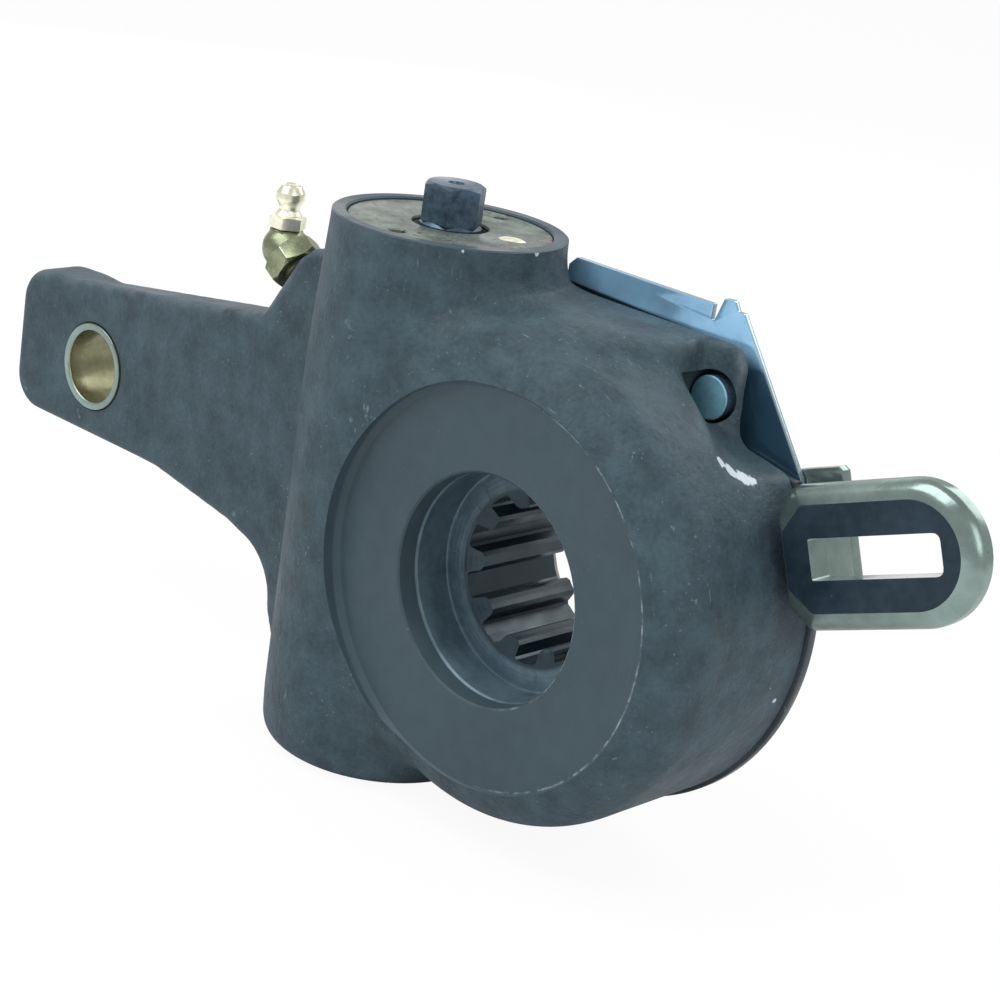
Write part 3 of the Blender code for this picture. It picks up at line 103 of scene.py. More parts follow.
# Splined hub
HUB_RADIUS = 29.6
COUNTERBORE = 25
COUNTERBORE_FLOOR = 14.9
SPLINES = 10
SPLINE_MAJOR = 19.05
SPLINE_MINOR = 15.43
SPLINE_GROOVE = 5.94
SPLINE_PHASE = math.radians(149.75)
HUB_END = 44
REAR_HUB = 24.2

# Widths across flats
WORM_FLATS = 12.6
ELBOW_FLATS = 12.5
NIPPLE_FLATS = 7.9

# Rear side
COVER_FRONT = 43.3
COVER_BACK = 45.7
COVER_RADIUS = 54
COVER_BORE = 31.2
SCREW_ANGLES = (5, -42, -88, 112)
SCREW_CIRCLE = 48.6
SCREW_HOLE = 2.8
SCREW_HEAD = 4.6
REAR_CUT = (40, 50)
PLATE_FRONT = 46
PLATE_BACK = 47.6
PLATE_TOP = 62.6
CONTROL_FRONT = 47.9
CONTROL_BACK = 50.9
CONTROL_RING = 37
CONTROL_BORE = 27.9
CONTROL_ANGLE = math.radians(21.5)
EYE_FRONT = 30
EYE_BACK = 36
EYE_HALF = 15
EYE_START = 55.5
EYE_CORNER = 4
EYE_END = 102.2


class HousingSizes(bpy.types.PropertyGroup):
    """Sizes of the forged housing that a user may change."""
    fillet: bpy.props.IntProperty(name="Fillet passes", description="How far the forged hollows are filled",
                                  default=80, min=0, max=300)
    edge: bpy.props.IntProperty(name="Edge passes", description="How far the forged edges are softened",
                                default=2, min=0, max=60)
    voxel: bpy.props.FloatProperty(name="Mesh size", description="Size of the forging's faces",
                                   default=0.9 * MM, min=0.5 * MM, max=4 * MM, unit="LENGTH")


class FinishColours(bpy.types.PropertyGroup):
    """Colours of the finishes."""
    forging: bpy.props.FloatVectorProperty(name="Forging", description="Phosphated forging", subtype="COLOR",
                                           default=(0.0365, 0.06, 0.075), min=0, max=1)
    blue_zinc: bpy.props.FloatVectorProperty(name="Blue zinc", description="Bright zinc of the guard plate",
                                             subtype="COLOR", default=(0.36, 0.67, 0.95), min=0, max=1)
    pale_zinc: bpy.props.FloatVectorProperty(name="Pale zinc", description="Zinc of the control arm",
                                             subtype="COLOR", default=(0.2, 0.265, 0.245), min=0, max=1)
    yellow_zinc: bpy.props.FloatVectorProperty(name="Yellow zinc", description="Zinc of the grease fitting",
                                               subtype="COLOR", default=(0.215, 0.24, 0.15), min=0, max=1)


class StudioSettings(bpy.types.PropertyGroup):
    """Camera and light of the studio."""
    lens: bpy.props.FloatProperty(name="Lens", description="Focal length in millimetres", default=84.5,
                                  min=10)
    key: bpy.props.FloatProperty(name="Key light", description="Power of the large soft light", default=10.8,
                                 min=0)
    sky: bpy.props.FloatProperty(name="Room light", description="Strength of the even room light",
                                 default=0.7, min=0)


# Making meshes

ALONG_Y = Matrix(((1, 0, 0, 0), (0, 0, 1, 0), (0, 1, 0, 0), (0, 0, 0, 1)))


def at_tower():
    """Places a turned form on the worm shaft's axis."""
    return Matrix.Translation((TOWER_X * MM, TOWER_Y * MM, 0))


def on_bore(across=0, up=0):
    """Places a form turned about Z along the camshaft bore's direction."""
    return Matrix.Translation((across * MM, 0, up * MM)) @ ALONG_Y


def arc(centre, radius, start, end, count):
    """Points on a round stretch, angles in degrees."""
    points = []
    for step in range(count + 1):
        turn = math.radians(start + (end - start) * step / count)
        points.append((centre[0] + radius * math.cos(turn), centre[1] + radius * math.sin(turn)))
    return points


def turned_points(points, angle):
    """Turns flat points about the origin."""
    cosine = math.cos(angle)
    sine = math.sin(angle)
    return [(a * cosine - b * sine, a * sine + b * cosine) for a, b in points]


def rounded(corners, steps=3):
    """An outline from (x, y, radius) corners, each rounded by its radius."""
    points = []
    count = len(corners)
    for index, (x, y, radius) in enumerate(corners):
        here = Vector((x, y))
        if radius <= 0:
            points.append((x, y))
            continue
        before = Vector(corners[index - 1][:2]) - here
        after = Vector(corners[(index + 1) % count][:2]) - here
        spread = before.angle(after) / 2
        reach = min(radius / math.tan(spread), before.length * 0.49, after.length * 0.49)
        start = here + before.normalized() * reach
        end = here + after.normalized() * reach
        for step in range(steps + 1):
            t = step / steps
            point = start * (1 - t) ** 2 + here * 2 * t * (1 - t) + end * t ** 2
            points.append((point.x, point.y))
    return points


def turned(profile, steps=96, place=None):
    """A form spun about Z from a closed profile of (radius, height)."""
    work = bmesh.new()
    line = [work.verts.new((max(0, radius) * MM, 0, height * MM)) for radius, height in profile]
    edges = []
    for near, far in zip(line, line[1:] + line[:1]):
        if near.co.x > 0 or far.co.x > 0:
            edges.append(work.edges.new((near, far)))
    bmesh.ops.spin(work, geom=line + edges, cent=(0, 0, 0), axis=(0, 0, 1), angle=TURN, steps=steps,
                   use_merge=True)
    return settle(work, place)


def rod(radius, low, high, steps=48, place=None):
    """A plain round bar."""
    return turned([(0, low), (radius, low), (radius, high), (0, high)], steps, place)


def hexagon(radius, low, high, place, corner=0.5, turn=0):
    """A bar with six flats, its corners rounded if a size is given."""
    corners = arc((0, 0), radius, turn, turn + 300, 5)
    if corner > 0:
        corners = rounded([(x, y, corner) for x, y in corners], 2)
    return slab(corners, low, high, place)


def slab(outline, low, high, place=None, bevel=0, segments=2):
    """An extruded outline, with its long edges bevelled if a width is given."""
    work = bmesh.new()
    face = work.faces.new([work.verts.new((a * MM, b * MM, low * MM)) for a, b in outline])
    grown = bmesh.ops.extrude_face_region(work, geom=[face])["geom"]
    moved = [part for part in grown if isinstance(part, bmesh.types.BMVert)]
    bmesh.ops.translate(work, verts=moved, vec=(0, 0, (high - low) * MM))
    if bevel > 0:
        bmesh.ops.recalc_face_normals(work, faces=work.faces)
        flat = [edge for edge in work.edges if abs(edge.verts[0].co.z - edge.verts[1].co.z) < WELD]
        bevel_edges(work, flat, bevel, segments, True)
    return settle(work, place)


def skin(sections, place=None):
    """A closed form bridged through loops with the same number of points."""
    work = bmesh.new()
    rims = []
    for section in sections:
        line = [work.verts.new(Vector(point) * MM) for point in section]
        rims.append([work.edges.new((near, far)) for near, far in zip(line, line[1:] + line[:1])])
        if section is sections[0] or section is sections[-1]:
            work.faces.new(line)
    for near, far in zip(rims, rims[1:]):
        bmesh.ops.bridge_loops(work, edges=near + far)
    return settle(work, place)


def round_rims(work, radius):
    """Rounds the edges that lie in a plane across the bore's direction."""
    rims = [edge for edge in work.edges if abs(edge.verts[0].co.y - edge.verts[1].co.y) < WELD]
    bevel_edges(work, rims, radius, 4, False)
    return settle(work)


def bevel_edges(work, edges, width, segments, clamp):
    """Bevels some edges of a form by a width in millimetres."""
    bmesh.ops.bevel(work, geom=edges, offset=width * MM, offset_type="OFFSET", segments=segments, profile=0.5,
                    affect="EDGES", clamp_overlap=clamp, material=-1)


def settle(work, place=None):
    """Places a form, welds its doubles and turns its faces out."""
    if place is not None:
        bmesh.ops.transform(work, matrix=place, verts=work.verts)
    bmesh.ops.remove_doubles(work, verts=work.verts, dist=WELD)
    bmesh.ops.recalc_face_normals(work, faces=work.faces)
    return work


def loose(name, work):
    """An object from a form, not yet part of the adjuster."""
    mesh = bpy.data.meshes.new(name)
    work.to_mesh(mesh)
    work.free()
    for slot in range(2):
        mesh.materials.append(None)
    item = bpy.data.objects.new(name, mesh)
    bpy.context.scene.collection.objects.link(item)
    return item


def bake(item):
    """Applies an object's modifiers to its mesh."""
    bpy.context.view_layer.update()
    graph = bpy.context.evaluated_depsgraph_get()
    mesh = bpy.data.meshes.new_from_object(item.evaluated_get(graph))
    item.modifiers.clear()
    item.data = mesh
    return item


def combine(item, work, operation, index=0, solver="EXACT"):
    """Adds or cuts a form. The new faces take the material of that index."""
    tool = loose("tool", work)
    tool.data.polygons.foreach_set("material_index", [index] * len(tool.data.polygons))
    step = item.modifiers.new("combine", "BOOLEAN")
    step.operation = operation
    step.solver = solver
    step.object = tool
    bake(item)
    bpy.data.objects.remove(tool, do_unlink=True)
    return item


def cut(item, work, index=0, solver="EXACT"):
    """Cuts a form out of an object."""
    return combine(item, work, "DIFFERENCE", index, solver)


def join(item, work, index=0):
    """Adds a form to an object."""
    return combine(item, work, "UNION", index)


def copy_of(node, name):
    """A loose copy of a CAD node's mesh."""
    work = bmesh.new()
    work.from_mesh(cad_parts[node].data)
    return loose(name, settle(work))


def second_material(item, test):
    """Gives the second material to the faces that pass a test, and the first to the others."""
    for face in item.data.polygons:
        face.material_index = 1 if test(face) else 0


def piece(item, body, materials, replaces=(), sharp=35):
    """Finishes a piece: shading, materials, the body it rides on and the node it stands for."""
    faces = item.data.polygons
    parts = np.empty(len(faces), dtype=np.int32)
    faces.foreach_get("material_index", parts)
    item.data.materials.clear()
    for material in materials:
        item.data.materials.append(material)
    faces.foreach_set("material_index", np.minimum(parts, len(materials) - 1))
    item.data.polygons.foreach_set("use_smooth", [True] * len(item.data.polygons))
    item.data.set_sharp_from_angle(angle=math.radians(sharp))
    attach(item, body)
    if replaces:
        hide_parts(*replaces)
    return item


def dress(node, material):
    """Gives a CAD node that stays a finish of its own."""
    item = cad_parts[node]
    item.data.materials.clear()
    item.data.materials.append(material)
    return item


# Shader node groups

def once(maker):
    """Keeps what a maker of a group or finish gives, so that it is made only once."""
    made = []

    def kept():
        if not made:
            made.append(maker())
        return made[0]
    return kept


def socket_kind(default):
    """Kind of a socket, from the value that it starts with."""
    if isinstance(default, tuple):
        return "NodeSocketColor" if len(default) == 4 else "NodeSocketVector"
    return "NodeSocketFloat"


def new_group(name, inputs, outputs):
    """A shader group with named inputs that have a start value, and named outputs."""
    tree = bpy.data.node_groups.new(name, "ShaderNodeTree")
    for label, default in inputs.items():
        socket = tree.interface.new_socket(label, in_out="INPUT", socket_type=socket_kind(default))
        socket.default_value = default
    for label in outputs:
        kind = "NodeSocketColor" if label == "Colour" else "NodeSocketFloat"
        tree.interface.new_socket(label, in_out="OUTPUT", socket_type=kind)
    start = tree.nodes.new("NodeGroupInput")
    end = tree.nodes.new("NodeGroupOutput")
    return tree, start.outputs, end.inputs


def feed(tree, socket, value):
    """Links a socket to another, or sets it to a value."""
    if isinstance(value, bpy.types.NodeSocket):
        tree.links.new(value, socket)
    else:
        socket.default_value = value


def add(tree, kind, inputs=None, **settings):
    """A node with its settings and inputs, a socket linked and anything else set."""
    node = tree.nodes.new("ShaderNode" + kind)
    for name, value in settings.items():
        setattr(node, name, value)
    for name, value in (inputs or {}).items():
        feed(tree, node.inputs[name], value)
    return node


def noise(tree, scale, detail=3, roughness=0.55, vector=None):
    """A noise value in object space."""
    if vector is None:
        vector = object_place(tree)
    values = {"Vector": vector, "Scale": scale, "Detail": detail, "Roughness": roughness}
    return add(tree, "TexNoise", values).outputs["Fac"]


def ramp(tree, value, low, high):
    """A value stretched from low..high to 0..1."""
    return add(tree, "MapRange", {"Value": value, "From Min": low, "From Max": high}).outputs["Result"]


def blend_colours(tree, factor, first, second):
    """A mix of two colours."""
    return add(tree, "Mix", data_type="RGBA", inputs={0: factor, 6: first, 7: second}).outputs[2]


def maths(tree, operation, first, second=0, clamp=False):
    """One step of arithmetic on one or two values."""
    return add(tree, "Math", {0: first, 1: second}, operation=operation, use_clamp=clamp).outputs["Value"]


def times(tree, first, second, clamp=False):
    """A product."""
    return maths(tree, "MULTIPLY", first, second, clamp)


def plus(tree, first, second):
    """A sum."""
    return maths(tree, "ADD", first, second)


def minus(tree, first, second, clamp=False):
    """A difference."""
    return maths(tree, "SUBTRACT", first, second, clamp)


def vector_maths(tree, operation, first, second=None, result="Vector"):
    """One step of arithmetic on one or two vectors."""
    values = {0: first} if second is None else {0: first, 1: second}
    return add(tree, "VectorMath", values, operation=operation).outputs[result]


def object_place(tree):
    """Where a point lies on the piece."""
    return add(tree, "TexCoord").outputs["Object"]


def axis_of(tree, vector, axis):
    """One axis of a vector."""
    return add(tree, "SeparateXYZ", {0: vector}).outputs[axis]


@once
def mottle_group():
    """Cloudy mix of a dark and a light tone of one finish."""
    inputs = {"Dark": (0, 0, 0, 1), "Light": (1, 1, 1, 1), "Scale": 40}
    tree, given, out = new_group("Mottle", inputs, ["Colour"])
    broad = noise(tree, given["Scale"], 2)
    fine = noise(tree, times(tree, given["Scale"], 7), 4, 0.6)
    total = plus(tree, times(tree, broad, 0.6), times(tree, fine, 0.4))
    mixed = blend_colours(tree, ramp(tree, total, 0.36, 0.64), given["Dark"], given["Light"])
    tree.links.new(mixed, out["Colour"])
    return tree


@once
def specks_group():
    """Small sparse spots, such as dust, pits or rust."""
    tree, given, out = new_group("Specks", {"Scale": 900, "Cover": 0.3}, ["Mask"])
    fine = noise(tree, given["Scale"], 2, 0.6)
    patch = noise(tree, times(tree, given["Scale"], 0.09), 2)
    limit = minus(tree, 0.8, times(tree, given["Cover"], plus(tree, patch, -0.1)))
    raised = times(tree, minus(tree, fine, limit), 22, clamp=True)
    tree.links.new(raised, out["Mask"])
    return tree


@once
def scratches_group():
    """Fine scratches in two directions."""
    tree, given, out = new_group("Scratches", {"Scale": 60, "Cover": 0.3}, ["Mask"])
    place = object_place(tree)
    total = None
    for turn in ((0.3, 0.5, 0.9), (1.1, 0.2, -0.6)):
        mapped = add(tree, "Mapping", {"Vector": place, "Rotation": turn, "Scale": (1, 16, 1)})
        lines = noise(tree, given["Scale"], 3, 0.6, mapped.outputs["Vector"])
        limit = minus(tree, 0.8, times(tree, given["Cover"], 0.25))
        mask = times(tree, minus(tree, lines, limit), 14, clamp=True)
        total = mask if total is None else maths(tree, "MAXIMUM", total, mask)
    tree.links.new(total, out["Mask"])
    return tree


@once
def grain_group():
    """Height and tone of a rough or rolled surface."""
    tree, given, out = new_group("Grain", {"Scale": 600}, ["Height", "Tone"])
    fine = noise(tree, given["Scale"], 4, 0.65)
    broad = noise(tree, times(tree, given["Scale"], 0.12), 2)
    total = plus(tree, times(tree, fine, 0.5), times(tree, broad, 0.9))
    tree.links.new(total, out["Height"])
    tree.links.new(ramp(tree, broad, 0.35, 0.65), out["Tone"])
    return tree


@once
def turning_group():
    """Rings left by a turning tool round an axis along Y or Z."""
    inputs = {"Centre": (0, 0, 0), "Keep": (1, 0, 1), "Pitch": 0.0006}
    tree, given, out = new_group("Turning marks", inputs, ["Height", "Radius"])
    place = object_place(tree)
    shifted = vector_maths(tree, "SUBTRACT", place, given["Centre"])
    flat = vector_maths(tree, "MULTIPLY", shifted, given["Keep"])
    radius = vector_maths(tree, "LENGTH", flat, None, "Value")
    wave = maths(tree, "SINE", maths(tree, "DIVIDE", times(tree, radius, TURN), given["Pitch"]))
    patch = ramp(tree, noise(tree, 130, 2), 0.35, 0.7)
    tree.links.new(times(tree, wave, patch), out["Height"])
    tree.links.new(radius, out["Radius"])
    return tree


@once
def ring_line_group():
    """Bright line along a round edge about the bore, patchy and on its right side only."""
    tree, given, out = new_group("Ring line", {"Radius": 0.04, "Width": 0.0004, "Depth": 0}, ["Mask"])
    place = object_place(tree)
    flat = vector_maths(tree, "MULTIPLY", place, (1, 0, 1))
    radius = vector_maths(tree, "LENGTH", flat, None, "Value")
    depth = axis_of(tree, place, "Y")
    away = maths(tree, "ABSOLUTE", minus(tree, radius, given["Radius"]))
    near = minus(tree, 1, maths(tree, "DIVIDE", away, given["Width"]), clamp=True)
    behind = maths(tree, "ABSOLUTE", minus(tree, depth, given["Depth"]))
    level = minus(tree, 1, maths(tree, "DIVIDE", behind, 0.0012), clamp=True)
    patch = ramp(tree, noise(tree, 330, 5, 0.7), 0.44, 0.66)
    side = ramp(tree, axis_of(tree, place, "X"), 0.002, 0.022)
    mask = times(tree, near, times(tree, level, side))
    tree.links.new(times(tree, mask, patch, clamp=True), out["Mask"])
    return tree


@once
def chip_group():
    """One chipped spot that shows bare metal, with a ragged edge."""
    tree, given, out = new_group("Chip", {"Centre": (0, 0, 0), "Size": (0.002, 0.002, 0.002)}, ["Mask"])
    place = object_place(tree)
    shifted = vector_maths(tree, "SUBTRACT", place, given["Centre"])
    scaled = vector_maths(tree, "DIVIDE", shifted, given["Size"])
    reach = vector_maths(tree, "LENGTH", scaled, None, "Value")
    ragged = times(tree, minus(tree, noise(tree, 600, 4), 0.5), 1.7)
    inside = minus(tree, plus(tree, 1, ragged), reach)
    tree.links.new(times(tree, inside, 5, clamp=True), out["Mask"])
    return tree


def use(tree, group, **values):
    """Places a shared group in a material with its own values."""
    return add(tree, "Group", values, node_tree=group()).outputs


# Finishes

def shade(colour, factor):
    """A darker or lighter tone of a colour, ready for a socket."""
    return tuple(min(1, part * factor) for part in colour[:3]) + (1,)


def over(tree, mask, tone, strength=1):
    """Lays a tone over a material's colour where a mask says."""
    shader = tree.nodes["Principled BSDF"]
    colour = shader.inputs["Base Color"].links[0].from_socket
    share = times(tree, mask, strength, clamp=True)
    tree.links.new(blend_colours(tree, share, colour, tone), shader.inputs["Base Color"])


def metal(name, dark, light, metallic, roughness, mottle=40, specks=None, scratches=None, grain=600,
          relief=0.06, turning=None, spread=0.12, specular=0.5):
    """A metal finish: mottled tone, specks, scratches, grain and turning marks."""
    material = bpy.data.materials.new(name)
    material.use_nodes = True
    tree = material.node_tree
    shader = tree.nodes["Principled BSDF"]
    shader.inputs["Metallic"].default_value = metallic
    shader.inputs["Specular IOR Level"].default_value = specular
    colour = use(tree, mottle_group, Dark=dark, Light=light, Scale=mottle)["Colour"]
    for group, marks in ((specks_group, specks), (scratches_group, scratches)):
        if marks:
            tone, cover, scale = marks
            colour = blend_colours(tree, use(tree, group, Scale=scale, Cover=cover)["Mask"], colour, tone)
    tree.links.new(colour, shader.inputs["Base Color"])
    rough = use(tree, grain_group, Scale=grain)
    limits = {"Value": rough["Tone"], "To Min": max(0.05, roughness - spread), "To Max": roughness + spread}
    tree.links.new(add(tree, "MapRange", limits).outputs["Result"], shader.inputs["Roughness"])
    bump = add(tree, "Bump", {"Height": rough["Height"], "Strength": relief, "Distance": 0.001})
    if turning:
        pitch, centre, keep, strength = turning
        lines = use(tree, turning_group, Pitch=pitch, Centre=centre, Keep=keep)
        bump = add(tree, "Bump", {"Height": lines["Height"], "Strength": strength, "Distance": 0.0001,
                                  "Normal": bump.outputs["Normal"]})
    tree.links.new(bump.outputs["Normal"], shader.inputs["Normal"])
    return material


# Turning marks about the bore and about the tower: a point of the axis, and the directions across it
BORE_MARKS = ((0, 0, 0), (1, 0, 1))
TOWER_MARKS = ((TOWER_X * MM, TOWER_Y * MM, 0), (1, 1, 0))

# Bare metal, and the forging's chipped spots: across, depth and up, and how far they reach, in millimetres
BARE = (0.46, 0.53, 0.58, 1)
CHIPS = ((36.9, 24.3, 37.6, 1.3), (38.2, 26.6, 36.3, 1.9), (39.4, 29.4, 34.8, 2.1), (40.2, 31.2, 33.8, 1.5),
         (-20, 23.6, 66.7, 0.8), (-26.3, 7.2, 66.6, 0.6), (51.3, 38.6, -12.7, 0.6), (52, 35, -8.8, 0.4))


@once
def forged():
    """Phosphated forging, dark blue grey with pale dust specks, worn edges and a few chips."""
    base = bpy.context.scene.adjuster_colours.forging
    material = metal("forged", shade(base, 0.76), shade(base, 1.32), 0, 0.54, 150,
                     specks=((0.105, 0.13, 0.14, 1), 0.27, 1000),
                     scratches=((0.12, 0.15, 0.17, 1), 0.4, 120), grain=380, relief=0.85, spread=0.06,
                     specular=0.17)
    tree = material.node_tree
    worn = add(tree, "Attribute", attribute_name="worn", attribute_type="GEOMETRY").outputs["Fac"]
    patch = ramp(tree, noise(tree, 160, 3), 0.35, 0.62)
    over(tree, times(tree, worn, patch, clamp=True), (0.15, 0.18, 0.2, 1), 0.6)
    for across, depth, up, size in CHIPS:
        spot = use(tree, chip_group, Centre=(across * MM, depth * MM, up * MM), Size=[size * MM] * 3)
        over(tree, spot["Mask"], BARE)
    return material


@once
def machined():
    """Machined faces of the forging, phosphated like the rest but smoother, bright along their edges."""
    base = bpy.context.scene.adjuster_colours.forging
    material = metal("machined", shade(base, 0.84), shade(base, 1.08), 0, 0.46, 30,
                     specks=((0.22, 0.26, 0.28, 1), 0.14, 1400),
                     scratches=((0.16, 0.2, 0.23, 1), 0.2, 60), grain=500, relief=0.06,
                     turning=(0.0013, *BORE_MARKS, 0.14), specular=0.24)
    tree = material.node_tree
    for radius, width in ((BOSS_RADIUS - 0.1, 0.32), (MOUTH_RADIUS + 0.25, 0.3)):
        ring = use(tree, ring_line_group, Radius=radius * MM, Width=width * MM)
        over(tree, ring["Mask"], (0.34, 0.42, 0.47, 1), 0.85)
    return material


@once
def hub_steel():
    """Phosphated steel of the splined hub, darkened as painted shade in its splined bore, bright along the
    edge of its counterbore.
    """
    material = metal("hub_steel", (0.046, 0.08, 0.106, 1), (0.098, 0.152, 0.19, 1), 0.35, 0.34, 60,
                     specks=((0.2, 0.24, 0.26, 1), 0.12, 1500), grain=700, relief=0.05,
                     turning=(0.0011, *BORE_MARKS, 0.16))
    tree = material.node_tree
    radius = use(tree, turning_group, Centre=BORE_MARKS[0], Keep=BORE_MARKS[1])["Radius"]
    # Painted shade: the splined bore, deep inside the hub, is darkened.
    over(tree, ramp(tree, radius, 0.0203, 0.0194), (0.008, 0.026, 0.034, 1), 0.9)
    edges = ((COUNTERBORE - 0.2, COUNTERBORE_FLOOR), (SPLINE_MINOR + 0.4, COUNTERBORE_FLOOR + 1.6))
    for radius, depth in edges:
        ring = use(tree, ring_line_group, Radius=radius * MM, Width=0.5 * MM, Depth=depth * MM)
        over(tree, ring["Mask"], (0.4, 0.46, 0.5, 1), 0.8)
    return material


@once
def blue_zinc():
    """Blue zinc of the guard plate, its lower front darkened as painted shade and reflection of the housing,
    a painted near-black shadow in the gap above the housing, bare along its edges.
    """
    base = bpy.context.scene.adjuster_colours.blue_zinc
    material = metal("blue_zinc", shade(base, 0.66), shade(base, 1.05), 0.62, 0.15, 26,
                     scratches=((0.6, 0.72, 0.8, 1), 0.15, 50), grain=500, relief=0.03, spread=0.04)
    tree = material.node_tree
    place = add(tree, "SeparateXYZ", {0: object_place(tree)}).outputs
    height = place["Z"]
    # Painted shade and reflection: the front is darkened below a wavy height, where the housing shades it and
    # mirrors in it.
    cloud = times(tree, noise(tree, 60, 3), 0.008)
    facing = add(tree, "SeparateXYZ", {0: add(tree, "NewGeometry").outputs["True Normal"]}).outputs["Y"]
    front = ramp(tree, facing, 0.2, -0.2)
    low = times(tree, ramp(tree, plus(tree, height, cloud), 0.06, 0.0565), front)
    over(tree, low, (0.026, 0.072, 0.116, 1), 0.95)
    # Painted shadow: a near-black band on the front, in the gap between the housing's top and the plate.
    slanted_height = plus(tree, height, times(tree, place["X"], 0.04))
    painted_gap_shadow = times(tree, ramp(tree, slanted_height, 0.0562, 0.0557), ramp(tree, place["X"], 0.014, 0.008))
    over(tree, times(tree, painted_gap_shadow, front), (0.006, 0.01, 0.016, 1), 0.95)
    over(tree, ramp(tree, maths(tree, "ABSOLUTE", facing), 0.6, 0.3), (0.3, 0.36, 0.36, 1), 0.85)
    return material


@once
def screw_zinc():
    """Blue green zinc of the ear screw."""
    return metal("screw_zinc", (0.13, 0.3, 0.4, 1), (0.22, 0.45, 0.56, 1), 0.4, 0.36, 120,
                 scratches=((0.3, 0.42, 0.48, 1), 0.15, 90), grain=500, relief=0.06)


@once
def pale_zinc():
    """Greenish pale zinc of the control arm."""
    base = bpy.context.scene.adjuster_colours.pale_zinc
    return metal("pale_zinc", shade(base, 0.8), shade(base, 1.18), 0.82, 0.27, 38,
                 specks=((0.1, 0.1, 0.07, 1), 0.14, 900), scratches=((0.5, 0.55, 0.5, 1), 0.2, 60),
                 grain=450, relief=0.07)


@once
def painted_shade_eye_front():
    """Painted shade and reflection: a dark finish for the flat front of the slotted eye, which is zinc like
    the rest of the arm.
    """
    return metal("eye_front_painted_shade", (0.009, 0.02, 0.03, 1), (0.022, 0.04, 0.058, 1), 0.3, 0.42, 70,
                 specks=((0.12, 0.14, 0.15, 1), 0.18, 1200), grain=600, relief=0.06, specular=0.22)


@once
def yellow_zinc():
    """Yellow passivated zinc of the grease fitting."""
    base = bpy.context.scene.adjuster_colours.yellow_zinc
    return metal("yellow_zinc", shade(base, 0.7), shade(base, 1.3), 0.85, 0.28, 180,
                 specks=((0.16, 0.16, 0.05, 1), 0.2, 900), grain=500, relief=0.05)


@once
def nipple_zinc():
    """Brighter zinc of the ball-headed nipple."""
    return metal("nipple_zinc", (0.58, 0.57, 0.4, 1), (0.95, 0.94, 0.8, 1), 0.85, 0.3, 160,
                 specks=((0.2, 0.2, 0.09, 1), 0.15, 900), grain=500, relief=0.04)


@once
def cap_zinc():
    """Mottled grey zinc of the end cap, with rust specks and a trace of red sealing lacquer at the rim."""
    material = metal("cap_zinc", (0.05, 0.066, 0.058, 1), (0.185, 0.225, 0.195, 1), 0.25, 0.5, 190,
                     specks=((0.07, 0.05, 0.035, 1), 0.46, 380),
                     scratches=((0.3, 0.33, 0.31, 1), 0.25, 110), grain=320, relief=0.3, specular=0.35)
    tree = material.node_tree
    radius = use(tree, turning_group, Centre=TOWER_MARKS[0], Keep=TOWER_MARKS[1])["Radius"]
    rim = ramp(tree, radius, 0.0205, 0.0228)
    patch = ramp(tree, noise(tree, 95, 3), 0.5, 0.62)
    over(tree, times(tree, rim, patch, clamp=True), (0.2, 0.045, 0.06, 1), 0.8)
    return material


@once
def black_steel():
    """Blackened steel of the worm shaft's hexagon."""
    return metal("black_steel", (0.014, 0.032, 0.052, 1), (0.08, 0.135, 0.19, 1), 0.5, 0.34, 90,
                 specks=((0.22, 0.24, 0.24, 1), 0.22, 800), scratches=((0.18, 0.2, 0.22, 1), 0.2, 90),
                 grain=450, relief=0.1)


@once
def cover_steel():
    """Dark coated steel of the rear cover and its screws."""
    return metal("cover_steel", (0.018, 0.026, 0.034, 1), (0.04, 0.05, 0.06, 1), 0.3, 0.4, 40,
                 specks=((0.16, 0.18, 0.19, 1), 0.15, 1100), grain=500, relief=0.07)


@once
def bare_steel():
    """Oiled bare steel of the inner gear train."""
    return metal("bare_steel", (0.3, 0.29, 0.27, 1), (0.48, 0.47, 0.44, 1), 0.95, 0.3, 60,
                 scratches=((0.6, 0.6, 0.58, 1), 0.15, 80), grain=600, relief=0.05)


@once
def bush_zinc():
    """Yellowed zinc of the clevis bushing."""
    return metal("bush_zinc", (0.15, 0.145, 0.078, 1), (0.25, 0.25, 0.155, 1), 0.85, 0.34, 90,
                 specks=((0.08, 0.07, 0.04, 1), 0.1, 800), grain=500, relief=0.06)


@once
def rubber():
    """Black seal rubber."""
    return metal("rubber", (0.01, 0.01, 0.011, 1), (0.022, 0.022, 0.023, 1), 0, 0.62, 60, grain=900,
                 relief=0.1)


# Housing

def drum_form():
    """Round body about the bore, with a rounded front shoulder."""
    profile = [(0, -1.4), (BOSS_RADIUS - 0.4, -1.4), (BOSS_RADIUS, 0)]
    for step in range(1, 11):
        turn = math.radians(9 * step)
        profile.append((BOSS_RADIUS + (DRUM_RADIUS - BOSS_RADIUS) * math.sin(turn),
                        DRUM_SHOULDER * (1 - math.cos(turn))))
    profile += [(DRUM_RADIUS, DEPTH + 1.4), (0, DEPTH + 1.4)]
    return turned(profile, 128, on_bore())


def tower_form():
    """Tapered tower round the worm shaft, left tall so that its top is faced off later."""
    foot = TOWER_BOTTOM
    taper = (TOWER_RADIUS - TOWER_TOP_RADIUS) / (TOWER_TOP - TAPER_START)
    high = TOWER_TOP + 1.5
    profile = rounded([(0, foot, 0), (TOWER_RADIUS - 0.6, foot, 7), (TOWER_RADIUS, foot + 11, 3),
                       (TOWER_RADIUS, TAPER_START, 6), (TOWER_TOP_RADIUS - taper * 1.5, high, 0),
                       (0, high, 0)], 6)
    return turned(profile, 96, at_tower())


